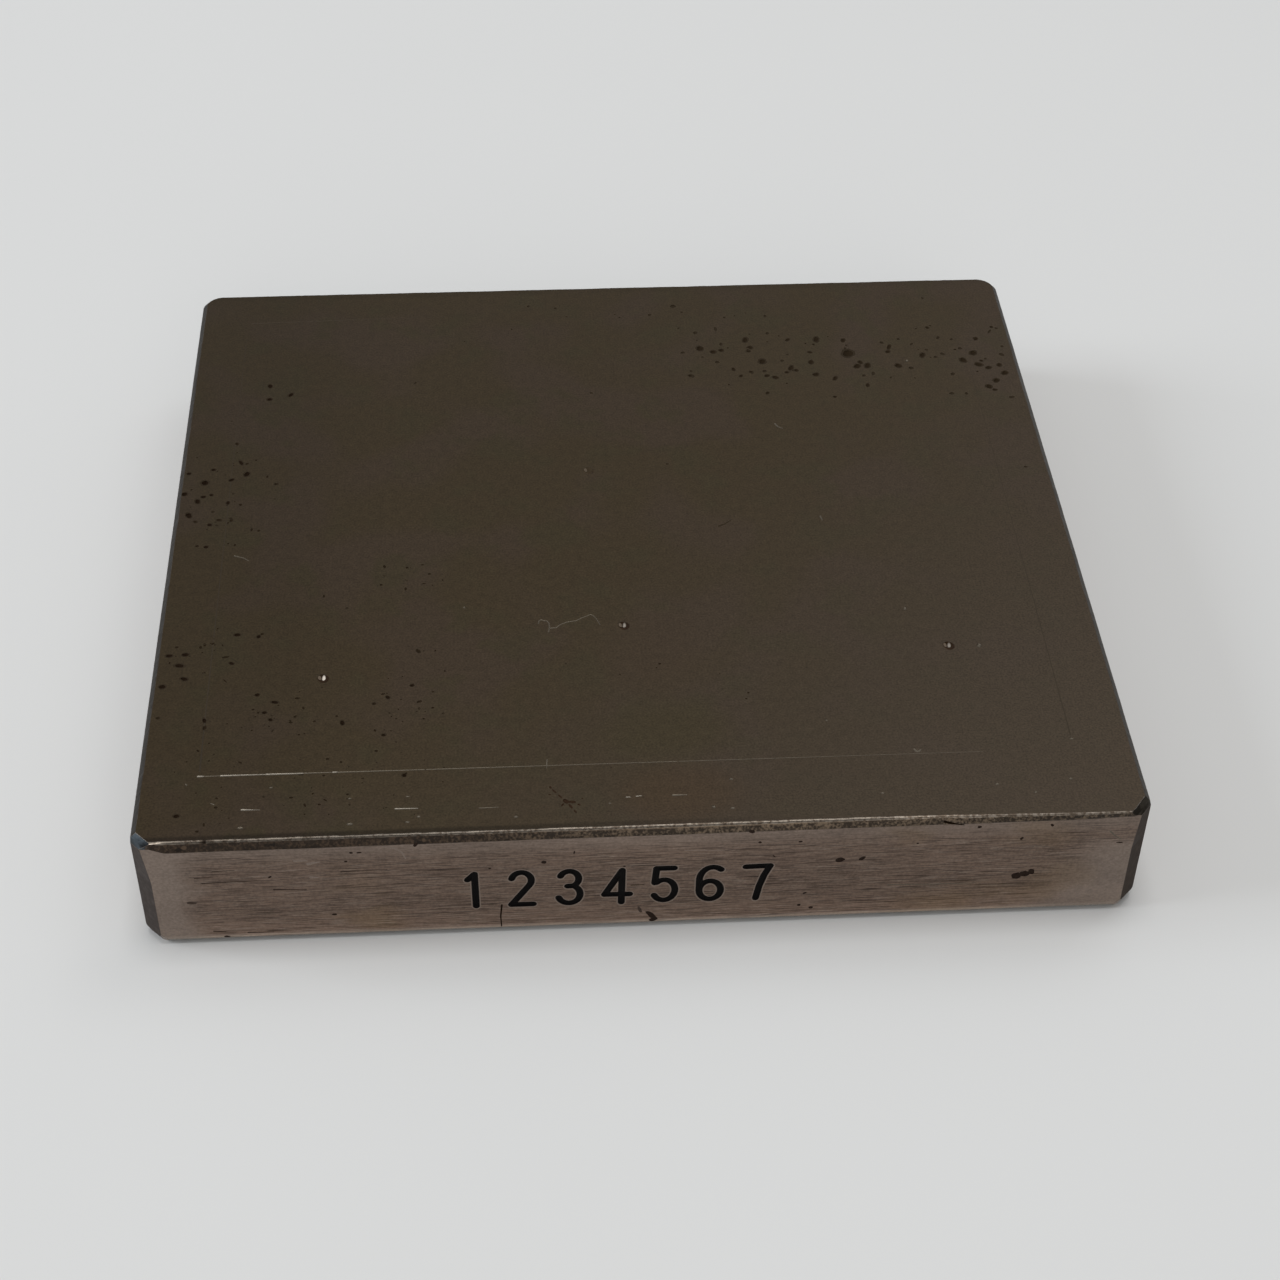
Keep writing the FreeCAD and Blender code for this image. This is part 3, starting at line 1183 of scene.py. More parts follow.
def figure_strokes() -> dict[str, list[list[Point]]]:
    """Draws the plain figures 1 to 7 as a punch maker would: strokes on a frame one unit high.

    A stroke ends at each sharp corner, where the next one starts, so that both keep their full width.

    Returns:
        The strokes of each figure, as lists of points from the foot line up.
    """
    swan_neck = arc((0.0, 0.75), (0.21, 0.25), 165, -38) + [(-0.22, 0.0)]
    upper_bowl = arc((0.0, 0.76), (0.2, 0.24), 158, -62) + [(-0.03, 0.535)]
    lower_bowl = [(-0.03, 0.535)] + arc((0.0, 0.28), (0.235, 0.28), 66, -158)
    six = arc((0.06, 0.6), (0.285, 0.4), 52, 172) + arc((0.0, 0.285), (0.23, 0.285), 180, 540)
    return {
        "1": [[(-0.13, 0.83), (0.02, 1.0)], [(0.02, 1.0), (0.02, 0.0)]],
        "2": [swan_neck, [(-0.22, 0.0), (0.24, 0.0)]],
        "3": [upper_bowl, lower_bowl],
        "4": [[(0.1, 1.0), (-0.26, 0.25)], [(-0.26, 0.25), (0.27, 0.25)], [(0.1, 1.0), (0.1, 0.0)]],
        "5": [
            [(0.2, 1.0), (-0.17, 1.0)], [(-0.17, 1.0), (-0.2, 0.55)],
            arc((0.0, 0.32), (0.235, 0.32), 132, -150),
        ],
        "6": [six],
        "7": [[(-0.25, 1.0), (0.26, 1.0)], [(0.26, 1.0), (0.14, 0.72), (0.04, 0.38), (-0.03, 0.0)]],
    }


class MarkMaker:
    """Makes the closed shapes that are cut out of the block, each with the finish that its cut takes."""

    pit_depth = 0.32
    halo_depth = 0.06
    halo_spread = 1.4
    halo_from = 0.17
    stone_rise = 0.25
    stone_count = 5
    clear_of_edge = 0.6
    cap_angles = (30, 55, 75, 86)

    def __init__(self, shelf: FinishShelf, low: Vector, high: Vector) -> None:
        """Starts with no marks.

        Args:
            shelf: The finishes.
            low: The block's lowest corner.
            high: The block's highest corner.
        """
        self.shelf = shelf
        self.low = low
        self.high = high
        self.cutters: list[bpy.types.Object] = []
        self.chance = random.Random(20)
        self.stones = [self._stone(number) for number in range(self.stone_count)]

    def _stone(self, seed: int) -> bpy.types.Object:
        """Models one uneven pebble of unit size, from which the pits are copied."""
        deselect_all()
        bpy.ops.mesh.primitive_ico_sphere_add(subdivisions=2, radius=1.0)
        stone = bpy.context.object
        with edit_mode(stone, "VERT"):
            bpy.ops.mesh.select_all(action="SELECT")
            bpy.ops.transform.vertex_random(offset=0.17, uniform=0.0, normal=0.6, seed=seed)
        return stone

    def keep(self, cutter: bpy.types.Object, placing: Matrix, finish: Finish) -> None:
        """Puts a cutter's place in its mesh, gives it its finish and keeps it.

        Args:
            cutter: The closed shape.
            placing: Where it goes.
            finish: The finish of its cut.
        """
        cutter.data.transform(placing)
        cutter.matrix_world = Matrix.Identity(4)
        cutter.data.materials.clear()
        cutter.data.materials.append(self.shelf[finish])
        for face in cutter.data.polygons:
            face.use_smooth = True
        self.cutters.append(cutter)

    def pit(self, side: Side, pit: Pit, finish: Finish) -> None:
        """Adds one pit, and a faint brown halo around a rust pit.

        Args:
            side: The face it lies in.
            pit: Its place and size.
            finish: Its finish, where the pit isn't a faint one.
        """
        finish = Finish.FAINT if pit.faint else finish
        self._press_stone(side, pit, 1.0, self.pit_depth, finish)
        if finish in (Finish.RUST, Finish.OLD_RUST) and pit.short > self.halo_from:
            self._press_stone(side, pit, self.halo_spread, self.halo_depth, Finish.FAINT)

    def _press_stone(self, side: Side, pit: Pit, spread: float, depth_share: float, finish: Finish) -> None:
        """Adds one pebble, as wide as its pit times a spread, and deep by a share of the pit's width."""
        stone = self.chance.choice(self.stones)
        cutter = stone.copy()
        cutter.data = stone.data.copy()
        bpy.context.collection.objects.link(cutter)
        depth = depth_share * pit.short
        placing = (
            side.placement(self.low, self.high)
            @ Matrix.Translation(Vector((pit.across, pit.along, self.stone_rise * depth)) * MM)
            @ Matrix.Rotation(math.radians(pit.turn), 4, "Z")
            @ Matrix.Diagonal(Vector((pit.long / 2 * spread, pit.short / 2 * spread, depth)) * MM).to_4x4()
            @ Matrix.Rotation(self.chance.uniform(0, math.tau), 4, "Z")
        )
        self.keep(cutter, placing, finish)

    def sprinkle(self, side: Side, patch: Sprinkle) -> None:
        """Adds a patch of small pits.

        Args:
            side: The face it lies in.
            patch: Where and how many.
        """
        for _ in range(patch.count):
            size = patch.smallest + (patch.largest - patch.smallest) * self.chance.random() ** 2
            pit = Pit(
                patch.across + self.chance.gauss(0, patch.reach_across / 2),
                patch.along + self.chance.gauss(0, patch.reach_along / 2),
                size * self.chance.uniform(1.0, 1.5),
                size,
                self.chance.uniform(0, 180),
                self.chance.random() < patch.faint_share,
            )
            inside_x = abs(pit.across) < (self.high.x / MM) - self.clear_of_edge
            inside_y = abs(pit.along) < (self.high.y / MM) - self.clear_of_edge
            if inside_x and inside_y:
                self.pit(side, pit, Finish.OLD_RUST)

    def groove(self, side: Side, cut: Groove) -> None:
        """Adds one groove: a round-ended tube along its points, pressed flat to its depth.

        Args:
            side: The face it lies in.
            cut: Its line and section.
        """
        curve = bpy.data.curves.new("groove", "CURVE")
        curve.dimensions = "3D"
        curve.bevel_depth = cut.width / 2 * MM
        curve.bevel_resolution = 2
        curve.use_fill_caps = True
        points = [Vector((x, y, 0.0)) for x, y in cut.points]
        last = len(points) - 1
        sizes = [1.0 + (cut.end_share - 1.0) * index / last for index in range(last + 1)]
        start_way = (points[0] - points[1]).normalized() * cut.width / 2
        end_way = (points[-1] - points[-2]).normalized() * cut.width / 2 * sizes[-1]
        caps = [math.radians(angle) for angle in self.cap_angles]
        line = [(points[0] + start_way * math.sin(a), math.cos(a)) for a in reversed(caps)]
        line += list(zip(points, sizes))
        line += [(points[-1] + end_way * math.sin(a), sizes[-1] * math.cos(a)) for a in caps]
        spline = curve.splines.new("POLY")
        spline.points.add(len(line) - 1)
        for target, (spot, radius) in zip(spline.points, line):
            target.co = (*(spot * MM), 1.0)
            target.radius = radius
        cutter = bpy.data.objects.new("groove", curve)
        bpy.context.collection.objects.link(cutter)
        pick(cutter)
        bpy.ops.object.convert(target="MESH")
        cutter = bpy.context.object
        with edit_mode(cutter, "VERT"):
            bpy.ops.mesh.select_all(action="SELECT")
            bpy.ops.mesh.remove_doubles(threshold=WELD)
            bpy.ops.mesh.normals_make_consistent(inside=False)
        flatten = Matrix.Diagonal((1.0, 1.0, cut.depth / (cut.width / 2), 1.0))
        self.keep(cutter, side.placement(self.low, self.high) @ flatten, cut.finish)

    def lathe(self, name: str, section: Sequence[Point], sides: int = 40) -> bpy.types.Object:
        """Turns a closed solid from a section, ring by ring.

        Args:
            name: The object's name.
            section: Radius and height of each ring in millimetres, from the widest down.
            sides: How many sides each ring has.

        Returns:
            The solid, standing on the world's Z axis.
        """
        deselect_all()
        radius, height = section[0]
        bpy.ops.mesh.primitive_circle_add(
            vertices=sides, radius=radius * MM, fill_type="NGON", location=(0, 0, height * MM)
        )
        solid = bpy.context.object
        solid.name = name
        bpy.ops.object.transform_apply(location=True, rotation=True, scale=True)
        with edit_mode(solid):
            bpy.ops.mesh.select_all(action="SELECT")
            for next_radius, next_height in section[1:]:
                drop = (0, 0, (next_height - height) * MM)
                bpy.ops.mesh.extrude_region_move(TRANSFORM_OT_translate={"value": drop})
                share = next_radius / radius
                bpy.ops.transform.resize(value=(share, share, 1.0), center_override=(0, 0, next_height * MM))
                radius, height = next_radius, next_height
            bpy.ops.mesh.select_all(action="SELECT")
            bpy.ops.mesh.normals_make_consistent(inside=False)
        return solid

    def on_top(self, indent: Indent) -> Matrix:
        """Gives the matrix that puts a turned solid at an indent's place.

        Args:
            indent: The indent.

        Returns:
            The placing matrix.
        """
        return Side.TOP.placement(self.low, self.high) @ Matrix.Translation(
            Vector((indent.across, indent.along, 0)) * MM
        )

    def join(self, name: str) -> bpy.types.Object:
        """Joins the cutters into one object and drops the pebbles.

        Args:
            name: The joined object's name.

        Returns:
            The joined object.
        """
        for stone in self.stones:
            bpy.data.objects.remove(stone)
        deselect_all()
        for cutter in self.cutters:
            cutter.select_set(True)
        bpy.context.view_layer.objects.active = self.cutters[0]
        bpy.ops.object.join()
        tool = bpy.context.object
        tool.name = name
        return tool


@dataclass(frozen=True)
class ConeIndents:
    """The form of the diamond's marks: a 120 degree cone with a ball nose, and the low rim that it raised.

    Lengths are millimetres.
    """

    diameter: float = 0.48
    nose_radius: float = 0.2
    half_angle: float = math.radians(60)
    rim_width: float = 0.09
    rim_height: float = 0.012
    rim_overlap: float = 0.04
    rim_crest: float = 0.02
    rim_shoulder: float = 0.05
    shoulder_share: float = 0.7
    rim_root: float = 0.05
    overshoot: float = 0.06
    nose_steps: int = 5
    nose_tip: float = 0.004

    def section(self) -> list[Point]:
        """Lists the rings of the diamond, from above the face down to its nose."""
        rim, rise, radius = self.diameter / 2, self.overshoot, self.nose_radius
        nose_edge = radius * math.cos(self.half_angle)
        nose_centre = radius * math.sin(self.half_angle) - (rim - nose_edge) / math.tan(self.half_angle)
        rings = [(rim + rise * math.tan(self.half_angle), rise), (rim, 0.0)]
        for step in range(self.nose_steps):
            angle = -self.half_angle - (math.pi / 2 - self.half_angle) * step / self.nose_steps
            rings.append((radius * math.cos(angle), nose_centre + radius * math.sin(angle)))
        rings.append((self.nose_tip, nose_centre - radius))
        return rings

    def raise_rims(self, block: bpy.types.Object, maker: MarkMaker) -> None:
        """Adds the low rims to the block's face.

        Args:
            block: The block.
            maker: The maker of marks.
        """
        rim = self.diameter / 2
        section = [
            (rim - self.rim_overlap, self.rim_height),
            (rim + self.rim_crest, self.rim_height),
            (rim + self.rim_shoulder, self.rim_height * self.shoulder_share),
            (rim + self.rim_width, 0.0),
            (rim + self.rim_width, -self.rim_root),
        ]
        rims = []
        for indent in INDENTS:
            rim_disc = maker.lathe("rim", section)
            rim_disc.data.transform(maker.on_top(indent))
            rim_disc.data.materials.append(maker.shelf[Finish.LAPPED])
            rims.append(rim_disc)
        deselect_all()
        for rim_disc in rims:
            rim_disc.select_set(True)
        bpy.context.view_layer.objects.active = rims[0]
        bpy.ops.object.join()
        carve(block, bpy.context.object, "UNION")

    def press(self, maker: MarkMaker) -> None:
        """Adds the cones to the marks.

        Args:
            maker: The maker of marks.
        """
        for indent in INDENTS:
            maker.keep(maker.lathe("cone", self.section()), maker.on_top(indent), Finish.CONE)


def carve(block: bpy.types.Object, tool: bpy.types.Object, operation: str) -> None:
    """Cuts a tool out of the block or adds it, keeping the tool's finishes, and drops the tool.

    Args:
        block: The block.
        tool: The joined tool.
        operation: DIFFERENCE or UNION.
    """
    boolean = block.modifiers.new("marks", "BOOLEAN")
    boolean.operation = operation
    boolean.object = tool
    boolean.solver = "EXACT"
    boolean.use_self = operation == "DIFFERENCE"
    boolean.material_mode = "TRANSFER"
    apply_modifier(block, boolean)
    bpy.data.objects.remove(tool)


@dataclass(frozen=True)
class StampedRow:
    """The row of plain figures on the front, punched one by one and not quite level, in millimetres."""

    figures: str = "1234567"
    first_at: float = -8.62
    pitch: float = 2.38
    foot_left: float = 2.05
    foot_right: float = 1.86
    height: float = 2.38
    stroke: float = 0.37
    depth: float = 0.19
    lip_width: float = 0.06
    lip_depth: float = 0.02
    sideways: float = 0.05
    upways: float = 0.04
    lean: float = 1.2
    seed: int = 7

    def stamp(self, maker: MarkMaker) -> None:
        """Adds the figures and their bruised lips to the marks.

        Args:
            maker: The maker of marks.
        """
        strokes = figure_strokes()
        chance = random.Random(self.seed)
        last = len(self.figures) - 1
        for index, figure in enumerate(self.figures):
            across = self.first_at + self.pitch * index + chance.uniform(-self.sideways, self.sideways)
            foot = self.foot_left + (self.foot_right - self.foot_left) * index / last
            foot += chance.uniform(-self.upways, self.upways)
            lean = math.radians(chance.uniform(-self.lean, self.lean))
            for stroke in strokes[figure]:
                points = tuple(
                    (across + self.height * (x * math.cos(lean) - y * math.sin(lean)),
                     foot + self.height * (y * math.cos(lean) + x * math.sin(lean)))
                    for x, y in stroke
                )
                lip = self.stroke + 2 * self.lip_width
                maker.groove(Side.FRONT, Groove(points, lip, self.lip_depth, Finish.LIP, 1.0))
                maker.groove(Side.FRONT, Groove(points, self.stroke, self.depth, Finish.STAMP, 1.0))


@dataclass(frozen=True)
class RustPits:
    """The rust pits of the test face: the ones that catch the eye by place, the small ones by patch."""

    fresh_from: float = 0.19
    rear_band: tuple[Pit, ...] = (
        Pit(14.9, 15.8, 0.74, 0.68, 60), Pit(9.5, 15.15, 0.5, 0.45, 80), Pit(5.75, 16.7, 0.48, 0.42, 90),
        Pit(8.65, 17.5, 0.52, 0.34, 75), Pit(13.1, 17.35, 0.56, 0.34, 85), Pit(6.55, 16.3, 0.36, 0.34),
        Pit(7.05, 16.45, 0.3, 0.28), Pit(7.1, 17.1, 0.34, 0.24, 90, True), Pit(8.75, 16.3, 0.26, 0.24),
        Pit(5.6, 18.4, 0.38, 0.28, 80, True), Pit(6.9, 18.75, 0.5, 0.2, 95, True),
        Pit(4.4, 21.4, 0.4, 0.36, 0, True), Pit(2.85, 20.5, 0.3, 0.24, 80, True),
        Pit(4.65, 16.3, 0.32, 0.24, 30, True), Pit(6.7, 15.2, 0.3, 0.26, 0, True),
        Pit(7.65, 14.4, 0.34, 0.2, 100), Pit(8.7, 14.1, 0.24, 0.2), Pit(8.05, 13.7, 0.26, 0.2, 60),
        Pit(9.65, 13.65, 0.32, 0.26, 20), Pit(10.15, 13.45, 0.38, 0.28, 150),
        Pit(11.2, 14.4, 0.52, 0.28, 65), Pit(10.9, 13.95, 0.26, 0.22),
        Pit(10.1, 18.15, 0.3, 0.24, 90, True), Pit(10.15, 20.05, 0.3, 0.2, 90, True),
        Pit(12.5, 14.95, 0.42, 0.3, 80), Pit(12.65, 13.65, 0.38, 0.3, 30), Pit(13.8, 13.2, 0.46, 0.24, 65),
        Pit(13.55, 11.3, 0.22, 0.18), Pit(15.3, 14.4, 0.46, 0.38, 50), Pit(15.95, 14.45, 0.52, 0.36, 80),
        Pit(15.6, 13.4, 0.3, 0.22, 40, True), Pit(16.2, 13.6, 0.42, 0.22, 80, True),
        Pit(15.7, 12.4, 0.36, 0.2, 80), Pit(17.55, 16.35, 0.5, 0.22, 70), Pit(17.4, 15.85, 0.3, 0.26, 40),
        Pit(17.85, 14.35, 0.44, 0.36, 140), Pit(19.0, 16.6, 0.34, 0.2, 60, True),
        Pit(19.5, 15.4, 0.48, 0.3, 70), Pit(20.3, 15.15, 0.28, 0.22, 0, True),
        Pit(20.75, 17.2, 0.36, 0.24, 60, True), Pit(21.95, 14.75, 0.48, 0.36, 120),
        Pit(22.7, 15.5, 0.46, 0.4, 60), Pit(22.85, 14.25, 0.52, 0.36, 150), Pit(23.4, 13.9, 0.36, 0.28, 20),
        Pit(24.1, 14.15, 0.34, 0.28, 80), Pit(24.3, 13.3, 0.42, 0.34, 45),
        Pit(23.65, 12.55, 0.42, 0.34, 60), Pit(23.1, 11.95, 0.42, 0.36, 120), Pit(23.4, 11.6, 0.26, 0.22),
        Pit(24.3, 10.8, 0.42, 0.24, 10, True), Pit(23.1, 17.0, 0.32, 0.26, 60),
        Pit(24.1, 17.75, 0.5, 0.16, 60, True),
    )
    left_band: tuple[Pit, ...] = (
        Pit(-20.65, 13.9, 0.38, 0.28, 100), Pit(-20.6, 12.55, 0.32, 0.28),
        Pit(-19.35, 12.95, 0.42, 0.24, 50), Pit(-21.9, 6.4, 0.52, 0.2, 115),
        Pit(-21.5, 5.3, 0.44, 0.34, 70), Pit(-23.45, 5.8, 0.28, 0.22), Pit(-24.85, 5.5, 0.28, 0.22),
        Pit(-23.85, 4.6, 0.46, 0.42, 40), Pit(-22.35, 4.8, 0.34, 0.24, 30), Pit(-20.3, 5.0, 0.24, 0.14, 80),
        Pit(-19.75, 4.3, 0.24, 0.18), Pit(-24.95, 3.6, 0.36, 0.34), Pit(-23.4, 3.45, 0.22, 0.2),
        Pit(-23.85, 3.3, 0.3, 0.24), Pit(-24.15, 2.9, 0.42, 0.3, 110), Pit(-22.4, 2.7, 0.3, 0.2, 90),
        Pit(-24.55, 1.65, 0.5, 0.32, 115), Pit(-23.3, 0.75, 0.28, 0.22, 150),
        Pit(-20.9, 0.2, 0.3, 0.14, 90), Pit(-23.35, -1.2, 0.26, 0.22), Pit(-23.85, -1.1, 0.2, 0.18),
        Pit(-21.75, -1.1, 0.24, 0.14, 90), Pit(-21.1, -8.65, 0.36, 0.24),
        Pit(-19.95, -8.85, 0.26, 0.22, 60), Pit(-19.78, -8.65, 0.2, 0.16), Pit(-24.6, -10.15, 0.38, 0.26),
        Pit(-23.75, -10.1, 0.38, 0.26), Pit(-21.6, -10.4, 0.44, 0.16, 8),
        Pit(-24.0, -10.95, 0.54, 0.28, 170), Pit(-21.25, -10.9, 0.3, 0.2, 150),
        Pit(-23.65, -12.0, 0.42, 0.26, 160), Pit(-24.75, -12.55, 0.36, 0.3),
        Pit(-21.5, -12.25, 0.34, 0.09, 130), Pit(-24.25, -9.5, 0.2, 0.16),
        Pit(-22.35, -15.2, 0.38, 0.19, 100), Pit(-22.3, -15.75, 0.34, 0.18, 80),
        Pit(-24.75, -14.9, 0.2, 0.18), Pit(-23.2, -21.95, 0.32, 0.24), Pit(-22.1, -23.05, 0.2, 0.17),
        Pit(-21.8, -22.6, 0.26, 0.13, 100), Pit(-22.5, -17.4, 0.22, 0.13, 130),
        Pit(-21.3, -21.45, 0.2, 0.16),
    )
    middle_patches: tuple[Pit, ...] = (
        Pit(-19.75, -13.4, 0.26, 0.22), Pit(-18.8, -14.0, 0.42, 0.2, 165), Pit(-17.65, -13.75, 0.3, 0.15),
        Pit(-17.3, -14.5, 0.26, 0.14, 100), Pit(-19.9, -14.5, 0.16, 0.14), Pit(-19.3, -14.75, 0.26, 0.2),
        Pit(-18.95, -15.3, 0.26, 0.2, 140), Pit(-17.9, -15.55, 0.22, 0.16),
        Pit(-15.25, -15.7, 0.36, 0.24, 100), Pit(-15.55, -15.2, 0.16, 0.14), Pit(-11.7, -13.05, 0.24, 0.2),
        Pit(-12.95, -13.9, 0.26, 0.19, 130), Pit(-13.65, -14.35, 0.2, 0.18),
        Pit(-11.3, -14.3, 0.32, 0.17, 20), Pit(-10.6, -13.6, 0.17, 0.12), Pit(-10.6, -14.8, 0.16, 0.14),
        Pit(-13.55, -16.35, 0.2, 0.15, 110), Pit(-13.1, -16.7, 0.24, 0.19), Pit(-13.45, -17.85, 0.2, 0.16),
        Pit(-11.4, -10.4, 0.34, 0.18, 125), Pit(-10.5, -10.4, 0.18, 0.1, 80),
        Pit(-13.35, -3.35, 0.28, 0.17, 100), Pit(-12.1, -3.5, 0.18, 0.16), Pit(-11.25, -3.3, 0.16, 0.12),
        Pit(-10.85, -4.1, 0.2, 0.17), Pit(-13.5, -4.9, 0.2, 0.16), Pit(-11.15, -4.9, 0.22, 0.13),
        Pit(-12.15, -5.3, 0.26, 0.15, 90), Pit(-16.6, -5.7, 0.24, 0.13, 90),
        Pit(-15.3, -6.75, 0.2, 0.15, 0, True), Pit(-20.3, -18.35, 0.26, 0.13, 140),
        Pit(-15.9, -18.3, 0.2, 0.16), Pit(-17.2, -19.35, 0.32, 0.12), Pit(-12.0, -19.65, 0.24, 0.22, 130),
        Pit(-17.6, -20.95, 0.22, 0.15), Pit(-16.9, -21.5, 0.26, 0.13, 110),
        Pit(-15.9, -21.2, 0.26, 0.1, 140), Pit(-14.8, -20.85, 0.18, 0.13), Pit(1.4, -12.0, 0.17, 0.14),
        Pit(5.75, -14.9, 0.13, 0.12), Pit(5.9, -14.45, 0.13, 0.12), Pit(2.95, 5.15, 0.2, 0.16, 0, True),
        Pit(-11.85, 13.85, 0.24, 0.16, 70, True), Pit(23.9, 3.95, 0.22, 0.18, 0, True),
    )
    patches: tuple[Sprinkle, ...] = (
        Sprinkle(10.0, 15.5, 6.0, 3.6, 34, 0.12, 0.28, 0.6),
        Sprinkle(21.5, 15.0, 4.0, 5.0, 30, 0.12, 0.3, 0.6),
        Sprinkle(-22.8, 3.5, 2.6, 4.2, 28, 0.09, 0.22, 0.5),
        Sprinkle(-22.2, -9.3, 1.6, 0.3, 8, 0.09, 0.15, 0.2),
        Sprinkle(-22.6, -10.4, 2.6, 3.0, 12, 0.08, 0.16, 0.5),
        Sprinkle(-18.4, -15.0, 2.4, 2.0, 20, 0.08, 0.16, 0.3),
        Sprinkle(-12.2, -14.5, 2.4, 3.6, 22, 0.08, 0.15, 0.3),
        Sprinkle(-12.4, -3.9, 2.2, 1.4, 6, 0.08, 0.13, 0.6),
        Sprinkle(-16.0, -20.5, 7.5, 2.6, 34, 0.07, 0.15, 0.5),
        Sprinkle(-21.5, -18.5, 2.6, 4.6, 12, 0.07, 0.14, 0.5),
        Sprinkle(0.0, 19.5, 16.0, 4.4, 14, 0.1, 0.2, 1.0),
        Sprinkle(3.0, -13.0, 6.0, 5.0, 6, 0.07, 0.11, 0.6),
    )

    def rust(self, maker: MarkMaker) -> None:
        """Adds the pits to the marks.

        Args:
            maker: The maker of marks.
        """
        for pit in self.rear_band:
            maker.pit(Side.TOP, pit, Finish.OLD_RUST)
        for pit in (*self.left_band, *self.middle_patches):
            maker.pit(Side.TOP, pit, Finish.OLD_RUST if pit.short < self.fresh_from else Finish.RUST)
        for patch in self.patches:
            maker.sprinkle(Side.TOP, patch)


